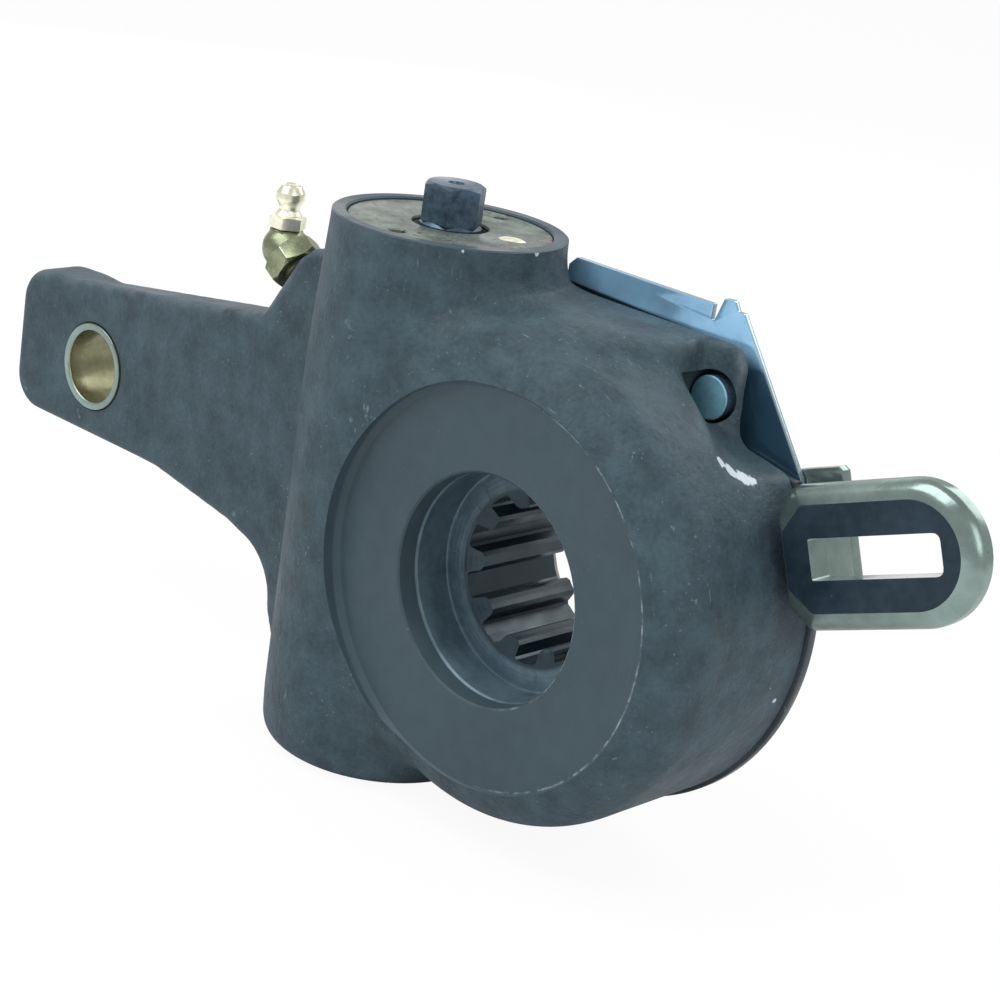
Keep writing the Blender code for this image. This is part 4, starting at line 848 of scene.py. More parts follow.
def web_form():
    """Forged web that ties the tower to the drum, drawn back at its ends."""
    def section(height, inset, reach, draw):
        front = WEB_FRONT + inset
        line = [(TOWER_X, front)]
        for step in range(13):
            turn = math.pi / 2 * step / 12
            line.append((-12 + (reach + 12) * math.sin(turn), front + draw * (1 - math.cos(turn))))
        line += [(reach, DEPTH + 1.8), (TOWER_X, DEPTH + 1.8)]
        return [(across, depth, height) for across, depth in line]

    levels = [(-52, 12, 20, 22), (-45, 4, 24, 26), (-36, 0, 26, 28), (40, 0, 26, 28)]
    levels += [(EAR_TOP - 7, 4, 17.5, 36), (EAR_TOP - 1.5, 12, 17, 28), (EAR_TOP, 20, 16, 20)]
    return skin([section(*level) for level in levels])


def arm_outline(drop):
    """Lever arm seen from the front, its top edge lowered by a drop."""
    low = ARM_HOLE_Z - 18.2
    end = ARM_HOLE_X - 31.6
    root = TOWER_X - TOWER_RADIUS
    line = arc((end + 9, low + 9), 9, 180, 270, 10)
    line += rounded([(ARM_HOLE_X + 20, low, 0), (ARM_HOLE_X + 28, low - 0.2, 8),
                     (ARM_HOLE_X + 56, low - 4.6, 8), (root - 20.1, low - 6.2, 0)], 6)
    line += arc((root - 22.7, low - 21), 15, 78, 0, 16)
    line += [(root - 3.5, low - 31), (root + 13, low - 41), (root + 13, 40)]
    line += [(root - 8, 34.4 - drop * 0.3), (-107.4, 31 - drop * 0.4), (-136, 26.9 - drop * 0.8)]
    line += [(-162, 23.1 - drop), (-169.5, 22 + drop * 0.2), (-175, 21.7 + drop * 0.2)]
    return line + arc((end + 9, 12.5 + drop * 0.2), 9, 92, 180, 10)


def arm_form():
    """Lever arm with its rounded end, its top falling away to the rear."""
    sections = []
    for depth, drop in ((ARM_FRONT, 0), (ARM_BACK, 1.4)):
        sections.append([(across, depth, up) for across, up in arm_outline(drop)])
    return round_rims(skin(sections), 1.9)


def ear_side(inset):
    """Right side of the ear with its corner and hollow foot, drawn in by an inset."""
    right = EAR_RIGHT - inset
    line = arc((right - EAR_CORNER, EAR_TOP - inset - EAR_CORNER), EAR_CORNER, 90, 0, 8)
    return line + arc((right + 5, EAR_FOOT_Z), 5, 180, 270, 8)


def ear_form():
    """Rear flange with the ear for the long screw."""
    line = [(-30, 20), (-30, EAR_TOP)] + ear_side(0)
    line += arc((0, 0), DRUM_RADIUS - 0.2, 39, 35, 2) + [(30, 0)]
    return slab(line, EAR_FRONT, DEPTH + 2.6, on_bore())


def lug_point(reach, side=0):
    """A flat point on the grease fitting's slanted axis, or beside it."""
    run = (math.cos(LUG_ANGLE), math.sin(LUG_ANGLE))
    return (LUG_FACE[0] + run[0] * reach - run[1] * side, LUG_FACE[1] + run[1] * reach + run[0] * side)


def lug_form():
    """Forged lug that takes the grease fitting."""
    corners = [(*lug_point(0, 15.9), 1.5), (*lug_point(0, -7.6), 3), (LUG_FACE[0] + 8.5, 52.4, 3)]
    corners += [(TOWER_X - 12, 52.4, 0), (TOWER_X - 12, 20, 0), (*lug_point(-6, 23.9), 0)]
    return slab(rounded(corners, 4), TOWER_Y - 7.5, TOWER_Y + 7.5, on_bore(), bevel=2, segments=3)


def slanted(reach=0):
    """Places a form turned about Z on the grease fitting's axis."""
    across, up = lug_point(reach)
    tilt = Matrix.Rotation(math.pi / 2 - LUG_ANGLE, 4, "Y")
    return Matrix.Translation((across * MM, TOWER_Y * MM, up * MM)) @ tilt


def pocket_form():
    """Scoop in front of the ear, whose front edge slants over the drum."""
    outside = DRUM_RADIUS + 0.3
    high = EAR_TOP + 1.2
    sections = []
    for share, sink in ((0, 0), (0.25, 0.36), (0.5, 0.65), (0.75, 0.88), (1, 1)):
        line = []
        for step in range(23):
            angle = 37 + 1.5 * step
            rise = min(1, (angle - 37) / 15)
            floor = outside - 8.8 * sink * math.sin(rise * math.pi / 2) ** 2
            line += arc((0, 0), floor, angle, angle, 1)[:1]
        end = line[-1][0]
        line += [(end + 0.5, high), (outside + 5, high), (outside + 5, line[0][1])]
        loop = []
        for across, up in line:
            front = 30.4 - (across - 17.5) * 0.39
            loop.append((across, front + (EAR_FRONT - front) * share, up))
        sections.append(loop)
    return skin(sections)


def flank_form():
    """Room beside the ear's right side, out to the drum's rim."""
    line = arc((EAR_RIGHT + 5, EAR_FOOT_Z), 5, 180, 270, 8)
    line += arc((0, 0), DRUM_RADIUS + 0.3, 39, 39, 1)[:1]
    line += [(DRUM_RADIUS + 5, EAR_FOOT_Z), (DRUM_RADIUS + 5, EAR_TOP), (EAR_RIGHT, EAR_TOP)]
    return slab(line, EAR_FRONT - 0.3, DEPTH + 1.2, on_bore())


def neighbours(mesh):
    """Edge ends and vertex neighbour counts of a mesh."""
    ends = np.empty(len(mesh.edges) * 2, dtype=np.int32)
    mesh.edges.foreach_get("vertices", ends)
    first = ends[0::2]
    second = ends[1::2]
    counts = np.bincount(ends, minlength=len(mesh.vertices))
    return first, second, np.maximum(counts, 1)[:, None]


def mean_of_neighbours(points, first, second, counts):
    """For each vertex the mean place of its neighbours."""
    total = np.zeros_like(points)
    for axis in range(3):
        total[:, axis] += np.bincount(first, points[second, axis], len(points))
        total[:, axis] += np.bincount(second, points[first, axis], len(points))
    return total / counts


def even_out(points, first, second, counts, pairs):
    """Takes ripples out by a shrinking and a swelling pass in turn, so that the form keeps its size."""
    for turn in range(pairs):
        for share in (0.5, -0.53):
            points += (mean_of_neighbours(points, first, second, counts) - points) * share


def vertex_values(source, name):
    """Places or normals of a mesh's vertices, as rows of three."""
    values = np.empty(len(source) * 3)
    source.foreach_get(name, values)
    return values.reshape(-1, 3)


def forge(mesh, fillet_passes, edge_passes):
    """Fills the hollow corners outwards as a forging die does, then softens every edge a little."""
    points = vertex_values(mesh.vertices, "co")
    first, second, counts = neighbours(mesh)
    even_out(points, first, second, counts, EVEN_BEFORE)
    for turn in range(edge_passes):
        points += (mean_of_neighbours(points, first, second, counts) - points) * 0.5
    for turn in range(fillet_passes):
        if turn % 10 == 0:
            mesh.vertices.foreach_set("co", points.ravel())
            mesh.update()
            normals = vertex_values(mesh.vertex_normals, "vector")
        pull = mean_of_neighbours(points, first, second, counts) - points
        out = np.clip((pull * normals).sum(axis=1), 0, None)
        points += normals * out[:, None] * 0.9
    even_out(points, first, second, counts, EVEN_AFTER)
    mesh.vertices.foreach_set("co", points.ravel())
    mesh.update()


def mark_worn_edges(mesh):
    """Stores how exposed each vertex is, for the wear in the finish."""
    points = vertex_values(mesh.vertices, "co")
    first, second, counts = neighbours(mesh)
    pull = mean_of_neighbours(points, first, second, counts) - points
    normals = vertex_values(mesh.vertex_normals, "vector")
    bend = np.clip((-(pull * normals).sum(axis=1) - 0.035 * MM) / (0.08 * MM), 0, 1)
    for turn in range(2):
        bend = mean_of_neighbours(bend[:, None].repeat(3, axis=1), first, second, counts)[:, 0]
    layer = mesh.attributes.new("worn", "FLOAT", "POINT")
    layer.data.foreach_set("value", np.clip(bend * 1.6, 0, 1))


def remesh(item, size):
    """Rebuilds a mesh with even small faces."""
    step = item.modifiers.new("even", "REMESH")
    step.mode = "VOXEL"
    step.voxel_size = size
    step.adaptivity = 0
    return bake(item)


def bore_cutters():
    """Everything that is machined into the forging, in the order of the cuts."""
    edge = BOSS_RADIUS + 0.4
    spot_face = rounded([(0, -8.4, 0), (edge + 1.2, -8.4, 0), (edge + 0.9, -1.2, 1), (edge - 0.3, 0, 0.6),
                         (0, 0, 0)], 4)
    mouth = MOUTH_RADIUS
    bore = [(0, -1), (mouth + 1.2, -1), (mouth + 0.4, 0), (mouth, 0.4), (mouth, LIP)]
    bore += [(HUB_ROOM, LIP), (HUB_ROOM, 13), (CAVITY, 13), (CAVITY, DEPTH + 2), (0, DEPTH + 2)]
    seat = CAP_RADIUS + FIT
    shaft = [(0, TOWER_BOTTOM - 1), (WORM_BORE + 0.8, TOWER_BOTTOM - 1), (WORM_BORE, TOWER_BOTTOM + 0.8)]
    shaft += [(WORM_BORE, SPRING_FLOOR), (SPRING_BORE, SPRING_FLOOR), (SPRING_BORE, CAP_BOTTOM - RUNNING)]
    shaft += [(seat, CAP_BOTTOM - RUNNING), (seat, TOWER_TOP - 0.4), (seat + 0.5, TOWER_TOP + 0.1)]
    shaft += [(seat + 0.5, TOWER_TOP + 3), (0, TOWER_TOP + 3)]
    rim = TOWER_TOP_RADIUS - 0.35
    facing = [(0, TOWER_TOP), (rim, TOWER_TOP), (rim + 1.2, TOWER_TOP - 0.9), (rim + 4, TOWER_TOP - 0.9)]
    facing += [(rim + 4, TOWER_TOP + 4), (0, TOWER_TOP + 4)]
    arm_hole = [(0, ARM_FRONT - 2), (11.7, ARM_FRONT - 2), (11.6, ARM_FRONT), (11.25, ARM_FRONT + 0.35)]
    arm_hole += [(11.25, ARM_BACK - 0.35), (11.6, ARM_BACK), (11.7, ARM_BACK + 2), (0, ARM_BACK + 2)]
    lug_hole = [(0, -36), (1.5, -36), (1.5, -11), (4.6, -9), (4.6, -0.6), (5.3, 0.2), (7.6, 0.2),
                (7.6, 4), (0, 4)]
    return [turned(spot_face, 160, on_bore()), rear_face(), turned(bore, 128, on_bore()),
            turned(facing, 96, at_tower()), turned(shaft, 96, at_tower()),
            turned(arm_hole, 64, on_bore(ARM_HOLE_X, ARM_HOLE_Z)),
            rod(EAR_HOLE, 31.5, DEPTH + 2, 48, on_bore(EAR_X, EAR_Z)), turned(lug_hole, 48, slanted()),
            rack_room()]


def rear_face():
    """Machined rear face, round with a corner at the ear."""
    reach = COVER_RADIUS + 0.7
    left = TOWER_X + 16
    start = math.degrees(math.acos(left / reach))
    outline = arc((0, 0), reach, start, 360, 90) + [(reach, 62), (left, 62)]
    return slab(outline, DEPTH, DEPTH + 40, on_bore())


def rack_room():
    """Closed channel in which the rack slides."""
    return slab([(-65.9, -45), (19.3, -45), (19.3, -35), (-65.9, -35)], 31.5, 38.3, on_bore())


def make_housing():
    """Forged housing: forms joined, forged together, then machined."""
    sizes = bpy.context.scene.adjuster_housing
    shape = loose("housing_shape", drum_form())
    for form in (web_form(), tower_form(), arm_form(), ear_form(), lug_form()):
        join(shape, form)
    for form in (pocket_form(), flank_form()):
        cut(shape, form)
    item = bpy.data.objects.new("housing_forging", shape.data.copy())
    bpy.context.scene.collection.objects.link(item)
    remesh(item, sizes.voxel)
    wrap = item.modifiers.new("true form", "SHRINKWRAP")
    wrap.target = shape
    bake(item)
    bpy.data.objects.remove(shape, do_unlink=True)
    forge(item.data, sizes.fillet, sizes.edge)
    mark_worn_edges(item.data)
    item.data.materials.clear()
    for slot in range(2):
        item.data.materials.append(None)
    for form in bore_cutters():
        cut(item, form, 1, SOLVER)
    for angle in SCREW_ANGLES:
        cut(item, rod(SCREW_HOLE, DEPTH - 8.5, DEPTH + 1, 24, screw_place(angle)), 1, SOLVER)
    piece(item, "body_housing", [forged(), machined()], ["housing"], 32)


def make_bushing():
    """Pressed clevis bushing with a rolled edge."""
    low = ARM_FRONT - 0.5
    high = ARM_BACK + 0.5
    profile = rounded([(9.2, low, 0.9), (11.2, low, 0.35), (11.2, high, 0.35), (9.2, high, 0.9)], 5)
    item = loose("clevis_bushing_turned", turned(profile, 96, on_bore(ARM_HOLE_X, ARM_HOLE_Z)))
    second_material(item, lambda face: abs(face.normal.y) > 0.6)
    piece(item, "body_housing", [bush_zinc(), pale_zinc()], ["clevis_bushing"])


# Splined hub

def spline_outline():
    """Bore with ten parallel-sided grooves and chamfered teeth."""
    half = SPLINE_GROOVE / 2
    outline = []
    outer = math.sqrt(SPLINE_MAJOR ** 2 - half ** 2)
    inner = math.sqrt((SPLINE_MINOR + 0.7) ** 2 - half ** 2)
    tip = math.asin(half / SPLINE_MINOR) + 0.045
    groove = turned_points([(SPLINE_MINOR, 0)], -tip)
    groove += [(inner, -half), (outer - 0.5, -half), (outer, -half + 0.5), (SPLINE_MAJOR, 0)]
    groove += [(outer, half - 0.5), (outer - 0.5, half), (inner, half)]
    groove += turned_points([(SPLINE_MINOR, 0)], tip) + turned_points([(SPLINE_MINOR, 0)], math.pi / SPLINES)
    for index in range(SPLINES):
        outline += turned_points(groove, SPLINE_PHASE + math.pi / SPLINES + TURN * index / SPLINES)
    return outline


def make_hub():
    """Front and rear hub of the worm wheel, with the splined camshaft bore."""
    front = LIP + RUNNING
    profile = [(0, front), (HUB_RADIUS - 0.6, front), (HUB_RADIUS, front + 0.6), (HUB_RADIUS, 8.25)]
    profile += [(27.7, 8.25), (27.7, 10.85), (HUB_RADIUS, 10.85), (HUB_RADIUS, 33.6), (REAR_HUB, 33.9)]
    profile += [(REAR_HUB, HUB_END - 0.6), (REAR_HUB - 0.6, HUB_END), (0, HUB_END)]
    item = loose("splined_hub", turned(profile, 128, on_bore()))
    mouth = rounded([(0, front - 1, 0), (COUNTERBORE + 1.4, front - 1, 0), (COUNTERBORE, front + 0.5, 0.2),
                     (COUNTERBORE, COUNTERBORE_FLOOR, 0.7), (0, COUNTERBORE_FLOOR, 0)], 4)
    cut(item, turned(mouth, 128, on_bore()))
    chamfer = [(0, COUNTERBORE_FLOOR - 1), (SPLINE_MAJOR + 1.6, COUNTERBORE_FLOOR - 1),
               (SPLINE_MAJOR + 0.6, COUNTERBORE_FLOOR), (SPLINE_MINOR, COUNTERBORE_FLOOR + 1.9),
               (0, COUNTERBORE_FLOOR + 1.9)]
    cut(item, turned(chamfer, 128, on_bore()))
    cut(item, slab(spline_outline(), COUNTERBORE_FLOOR - 2, HUB_END + 1, on_bore()))
    piece(item, "body_wheel", [hub_steel()], [], 28)
    make_teeth()


def make_teeth():
    """Throated tooth band of the worm wheel, cut free of its hub."""
    item = copy_of("worm_wheel", "wheel_teeth")
    core = turned([(0, 0), (HUB_RADIUS, 0), (HUB_RADIUS, 33.6), (REAR_HUB, 33.7), (REAR_HUB, 60),
                   (0, 60)], 128, on_bore())
    cut(item, core)
    piece(item, "body_wheel", [bare_steel()], ["worm_wheel"])


# Worm tower

def make_hexagon():
    """Adjusting hexagon with its chamfered top, centre mark and foot."""
    work = turned([(0, 60), (7, 60), (7, 66.4), (6.2, 67.2), (6.2, 67.6), (0, 67.6)], 64, at_tower())
    item = loose("worm_hexagon", work)
    radius = WORM_FLATS / math.sqrt(3)
    join(item, hexagon(radius, 67, 75.8, at_tower(), turn=3))
    shell = rounded([(0, 60, 0), (9, 60, 0), (9, 74.6, 0), (radius, 74.9, 0.3), (radius - 1.3, 75.8, 0.3),
                     (0, 75.8, 0)], 3)
    combine(item, turned(shell, 96, at_tower()), "INTERSECT")
    mark = [(0, 73.6), (1.3, 74.4), (2.1, 76.4), (0, 76.4)]
    cut(item, turned(mark, 40, at_tower()))
    piece(item, "body_worm", [black_steel()], [], 30)
    make_worm()


def make_worm():
    """Worm shaft below the seal, with its thread and collar."""
    item = copy_of("worm_shaft", "worm_thread")
    top = slab([(-30, -30), (30, -30), (30, 30), (-30, 30)], 60, 90, at_tower())
    cut(item, top)
    piece(item, "body_worm", [bare_steel()], ["worm_shaft"])


def make_cap():
    """Screwed end cap with its spanner holes and seal seat."""
    bore = 10
    step = CAP_TOP - 0.6
    profile = rounded([(bore, CAP_BOTTOM, 0), (CAP_RADIUS, CAP_BOTTOM, 0), (CAP_RADIUS, CAP_TOP, 0.7),
                       (bore - 1.2, CAP_TOP, 0.2), (bore - 1.4, step, 0), (bore, step, 0)], 4)
    item = loose("tower_cap", turned(profile, 128, at_tower()))
    for sign in (-1, 1):
        place = at_tower() @ Matrix.Translation((sign * SPANNER[0] * MM, sign * SPANNER[1] * MM, 0))
        hole = [(0, CAP_TOP - 3.6), (1.9, CAP_TOP - 3), (1.9, CAP_TOP - 0.3), (2.3, CAP_TOP + 0.1),
                (2.3, CAP_TOP + 1), (0, CAP_TOP + 1)]
        cut(item, turned(hole, 40, place))
    drop = [(0, -0.6), (2.9, -0.5), (2.7, 0.1), (1.8, 0.5), (0, 0.6)]
    place = Matrix.Translation((-30.9 * MM, 27.6 * MM, CAP_TOP * MM))
    place = place @ Matrix.Rotation(math.radians(35), 4, "Z") @ Matrix.Diagonal((1.15, 0.62, 1, 1))
    join(item, turned(drop, 32, place), 1)
    piece(item, "body_housing", [cap_zinc(), nipple_zinc()], ["end_cap"])
    lip = rounded([(7.3, 61.5, 0), (9.7, 61.5, 0), (9.7, 65.6, 0.4), (8.6, 65.6, 0.5), (7.3, 64.4, 0.4)], 4)
    seal = loose("shaft_lip_seal", turned(lip, 96, at_tower()))
    piece(seal, "body_housing", [rubber()], ["shaft_seal"])


# Rear side

def make_cover():
    """Rear cover with its countersunk screws and the ring seal."""
    lobe = 1.8
    outline = [(10, EAR_TOP - lobe)] + ear_side(lobe) + arc((0, 0), COVER_RADIUS, 37.2, -223, 130)
    item = loose("cover_sheet", slab(outline, COVER_FRONT, COVER_BACK, on_bore(), bevel=0.35))
    cut(item, rod(COVER_BORE, *REAR_CUT, 128, on_bore()))
    cut(item, rod(EAR_SCREW_ROOM, *REAR_CUT, 48, on_bore(EAR_X, EAR_Z)))
    for number, angle in enumerate(SCREW_ANGLES, start=1):
        place = screw_place(angle)
        plated = number == len(SCREW_ANGLES)
        end = (PLATE_BACK if plated else COVER_BACK) - 0.1
        cut(item, rod(SCREW_HOLE, *REAR_CUT, 48, place) if plated else sunk_room(end, place))
        make_cover_screw(number, place, end)
    piece(item, "body_housing", [cover_steel()], ["rear_cover"])
    outside = COVER_BORE - RUNNING
    ring = rounded([(CONTROL_BORE, COVER_FRONT, 0.3), (outside, COVER_FRONT, 0.3), (outside, COVER_BACK, 0.3),
                    (CONTROL_BORE, COVER_BACK, 0.8)], 3)
    seal = loose("cover_ring_seal", turned(ring, 128, on_bore()))
    piece(seal, "body_housing", [rubber()], ["cover_seal"])


def screw_place(angle):
    """Places a form on the axis of a cover screw."""
    return on_bore(*turned_points([(SCREW_CIRCLE, 0)], math.radians(angle))[0])


def sunk_room(end, place):
    """Hole and countersink of a cover screw."""
    low, high = REAR_CUT
    return turned([(0, low), (SCREW_HOLE, low), (SCREW_HOLE, end - 2), (SCREW_HEAD, end), (SCREW_HEAD, high),
                   (0, high)], 48, place)


def make_cover_screw(number, place, end):
    """Countersunk socket screw."""
    profile = rounded([(0, 35, 0), (2, 35, 0), (2.5, 35.6, 0), (2.5, end - 1.8, 0), (4.3, end - 0.15, 0.1),
                       (4.2, end, 0.1), (0, end, 0)], 2)
    item = loose("countersunk_screw_%d" % number, turned(profile, 48, place))
    cut(item, hexagon(1.7, end - 1.5, end + 1, place, 0))
    piece(item, "body_housing", [cover_steel()], ["cover_screw_%d" % number])


def make_guard_plate():
    """Bright guard plate with its notch and tab, and the ear screw that holds it."""
    top = PLATE_TOP
    left = -29.2
    corners = [(left, 20, 1), (left, top - 2, 0.4), (left + 2, top, 0.4), (12.2, top, 0.3)]
    corners += [(12.2, top - 3.5, 0.3), (13, top - 3.5, 0.3), (14.8, top + 1.9, 0.5), (17.4, top + 2.1, 0.9)]
    corners += [(18.7, top, 0.4), (20.4, top, 0.6), (42.3, 32.8, 1.5), (45, 26.8, 3), (42.3, 20, 2)]
    corners += [(*point, 0) for point in arc((0, 0), 36.9, 20, 150, 48)]
    item = loose("guard_sheet", slab(rounded(corners, 3), PLATE_FRONT, PLATE_BACK, on_bore(), bevel=0.25))
    cut(item, rod(EAR_SCREW_ROOM, *REAR_CUT, 48, on_bore(EAR_X, EAR_Z)))
    cut(item, sunk_room(PLATE_BACK - 0.1, screw_place(SCREW_ANGLES[-1])))
    piece(item, "body_housing", [blue_zinc()], ["guard_plate"])
    seat = PLATE_BACK + RUNNING
    profile = rounded([(0, 39.9, 0), (4.9, 39.9, 0.5), (4.9, DEPTH, 0), (3.2, DEPTH, 0), (3.2, seat, 0),
                       (7.6, seat, 0.2), (7.6, seat + 1.9, 0.7), (0, seat + 1.9, 0)], 3)
    screw = loose("ear_screw_turned", turned(profile, 64, on_bore(EAR_X - 0.5, EAR_Z - 0.4)))
    cut(screw, hexagon(3.6, seat - 1.9, seat + 3, on_bore(EAR_X, EAR_Z), 0))
    # Painted shade: the screw's sides inside the ear's hole take the black steel, so that the gap round its
    # end reads dark.
    second_material(screw, lambda face: face.normal.y >= -0.5 and face.center.y <= seat * MM)
    piece(screw, "body_housing", [screw_zinc(), black_steel()], ["ear_screw"])


def radial():
    """Places a form drawn along the control arm's radial direction."""
    return Matrix.Rotation(-CONTROL_ANGLE, 4, "Y")


def eye_loop(inset, depth):
    """One loop of the eye's outline, drawn in by an inset."""
    half = EYE_HALF - inset
    start = EYE_START + inset * 0.3
    corner = EYE_CORNER + inset * 0.35
    corners = [(start, half - corner, 1.5), (start, corner - half, 1.5), (start + corner, -half, 1.5)]
    corners += [(a, b, 0) for a, b in arc((EYE_END - EYE_HALF, 0), half, -90, 90, 30)]
    corners.append((start + corner, half, 1.5))
    return [(a, depth, b) for a, b in rounded(corners, 3)]


def make_control_arm():
    """Control arm: ring, joggled strap and slotted eye, with the disc behind the cover."""
    bevel = [(EYE_FRONT, 4.5), (EYE_FRONT + 0.12, 3.9), (EYE_FRONT + 0.7, 2.2), (EYE_FRONT + 1.5, 0.9),
             (EYE_FRONT + 2.6, 0.15), (EYE_FRONT + 3.4, 0), (EYE_BACK - 0.5, 0), (EYE_BACK, 0.5)]
    item = loose("control_arm_forming", skin([eye_loop(inset, depth) for depth, inset in bevel], radial()))
    half = EYE_HALF - 2
    run = rounded([(33, CONTROL_FRONT, 0), (58, CONTROL_FRONT, 1.2), (58, EYE_BACK - 2, 0),
                   (61, EYE_BACK - 2, 0), (61, CONTROL_BACK, 4.2), (33, CONTROL_BACK, 0)], 6)
    join(item, slab(run, -half, half, radial(), bevel=0.4))
    spread = math.degrees(math.asin(EYE_HALF / CONTROL_RING))
    plan = arc((0, 0), CONTROL_RING, spread, 360 - spread, 110)
    plan += [(60, -EYE_HALF), (61, 1 - EYE_HALF), (61, 16), (60, 17), (50, 17)]
    plan = turned_points(plan, CONTROL_ANGLE)
    join(item, slab(plan, CONTROL_FRONT, CONTROL_BACK, on_bore(), bevel=0.35))
    slot = rounded([(63, -4.3, 0.6), (94.2, -4.3, 1.8), (94.2, 4.3, 1.8), (63, 4.3, 0.6)], 4)
    cut(item, slab(turned_points(slot, CONTROL_ANGLE), EYE_FRONT - 2, EYE_BACK + 1, on_bore()))
    cut(item, rod(CONTROL_BORE, 40, 60, 128, on_bore()))
    # The eye's flat front takes the dark finish as painted shade and reflection.
    second_material(item, lambda face: face.normal.y < -0.9
                    and abs(face.center.y - EYE_FRONT * MM) < 0.2 * MM)
    piece(item, "body_arm", [pale_zinc(), painted_shade_eye_front()], ["control_arm"], 30)
    dress("control_disc", bare_steel())


# Grease fitting

def make_grease_fitting():
    """Elbow with its threaded stud, hexagon block and ball-headed nipple."""
    stud = [(0, -8), (3.7, -8)]
    for turn in range(11):
        height = -7.4 + turn
        stud += [(3.95, height), (4.45, height + 0.45)]
    stud += [(3.95, 3.7), (3.95, 4.4), (0, 4.4)]
    item = loose("grease_elbow_forming", turned(stud, 48, slanted()))
    radius = ELBOW_FLATS / math.sqrt(3)
    block = loose("block", hexagon(radius, 3, 8, slanted()))
    shell = rounded([(0, 2, 0), (radius - 1.2, 2, 0), (radius - 0.9, 3, 0), (radius, 3.8, 0.3),
                     (radius, 7.2, 0.3), (radius - 0.9, 8, 0), (radius - 1.2, 9, 0), (0, 9, 0)], 3)
    combine(block, turned(shell, 64, slanted()), "INTERSECT")
    dome = [(0, 6), (5.5, 6)] + arc((0, 10), 5.6, 0, 90, 14)
    join(block, turned(dome, 64, slanted()))
    place = Matrix.Translation((-98.4 * MM, TOWER_Y * MM, 0))
    outlet = rounded([(0, 45.4, 0), (4, 45.4, 0), (4, 52.4, 0.5), (0, 52.4, 0)], 3)
    join(block, turned(outlet, 48, place))
    joined = bmesh.new()
    joined.from_mesh(block.data)
    bpy.data.objects.remove(block, do_unlink=True)
    join(item, joined)
    cut(item, rod(8, 52.4, 62, 48, place))
    piece(item, "body_housing", [yellow_zinc()], ["grease_elbow"], 30)
    base = 52.7
    radius = NIPPLE_FLATS / math.sqrt(3)
    nipple = loose("grease_nipple_turned", hexagon(radius, base, base + 3, place, 0.4))
    shell = rounded([(0, base - 1, 0), (radius + 1, base - 1, 0), (radius + 1, base + 2.2, 0),
                     (radius - 0.8, base + 3, 0.2), (0, base + 3, 0)], 3)
    combine(nipple, turned(shell, 64, place), "INTERSECT")
    ball = ((0, 1, 0), (3.2, 1, 0), (3.2, 3.2, 0.3), (2.5, 4.3, 0.7), (2.6, 5.2, 0.7), (3.5, 6.8, 0.8),
            (3.4, 8.4, 1), (2.5, 10.1, 0.5), (1.7, 10.5, 0.3), (1, 10.2, 0.2), (0, 9.9, 0))
    profile = rounded([(across, base + height, radius) for across, height, radius in ball], 4)
    join(nipple, turned(profile, 64, place))
    piece(nipple, "body_housing", [nipple_zinc()], ["grease_nipple"], 30)


def dress_inner_train():
    """Finishes of the inner pieces that stay as the frame has them."""
    for node in ("clutch_wheel", "gear_wheel", "rack", "thrust_washer"):
        dress(node, bare_steel())
    for node in ("clutch_spring", "worm_spring"):
        dress(node, black_steel())
    dress("hub_seal", rubber())
    dress("lower_bush", bush_zinc())
    dress("lower_plug", pale_zinc())


# Studio

CAMERA_PLACE = (0.3016, -0.3524, 0.1719)
CAMERA_RIGHT = Vector((0.7203, 0.6779, 0.147))
CAMERA_UP = Vector((-0.3166, 0.1327, 0.9392))

# Lights: name, place, size and share of the key light's power
LIGHTS = (("key_light", (-0.35, -0.55, 0.95), 0.9, 1), ("side_light", (0.95, -0.25, 0.55), 0.6, 0.28),
          ("back_light", (0.1, 0.9, 0.8), 0.8, 0.5), ("tail_light", (-0.9, 0.5, 0.3), 0.8, 0.12))
WHITE = (1, 1, 1, 1)


def make_studio():
    """Pale floor, soft lights, white room and the camera of the photo."""
    settings = bpy.context.scene.adjuster_studio
    scene = bpy.context.scene
    work = bmesh.new()
    bmesh.ops.create_grid(work, x_segments=1, y_segments=1, size=6)
    bmesh.ops.translate(work, verts=work.verts, vec=(0, 0, TOWER_BOTTOM * MM - 0.0005))
    floor = loose("studio_floor", work)
    floor.data.materials.clear()
    floor.data.materials.append(floor_paint())
    lens = bpy.data.cameras.new("studio_camera")
    lens.lens = settings.lens
    lens.sensor_width = 36
    lens.clip_start = 0.01
    camera = bpy.data.objects.new("studio_camera", lens)
    turn = Matrix((CAMERA_RIGHT, CAMERA_UP, CAMERA_RIGHT.cross(CAMERA_UP))).transposed()
    camera.matrix_world = Matrix.Translation(CAMERA_PLACE) @ turn.to_4x4()
    scene.collection.objects.link(camera)
    scene.camera = camera
    for name, place, size, share in LIGHTS:
        add_light(name, place, size, settings.key * share)
    world = bpy.data.worlds.new("studio_room")
    world.use_nodes = True
    tree = world.node_tree
    background = tree.nodes["Background"]
    rays = add(tree, "LightPath")
    seen = maths(tree, "MAXIMUM", rays.outputs["Is Camera Ray"], rays.outputs["Is Transmission Ray"])
    strength = add(tree, "MapRange", {"Value": seen, "To Min": settings.sky, "To Max": 1})
    tree.links.new(strength.outputs["Result"], background.inputs["Strength"])
    background.inputs["Color"].default_value = WHITE
    scene.world = world
    scene.view_settings.view_transform = "Standard"


def add_light(name, place, size, power):
    """A large soft light aimed at the part."""
    lamp = bpy.data.lights.new(name, "AREA")
    lamp.size = size
    lamp.energy = power
    item = bpy.data.objects.new(name, lamp)
    item.location = place
    item.visible_camera = False
    item.rotation_euler = (Vector((-0.03, 0.02, 0)) - Vector(place)).to_track_quat("-Z", "Y").to_euler()
    bpy.context.scene.collection.objects.link(item)


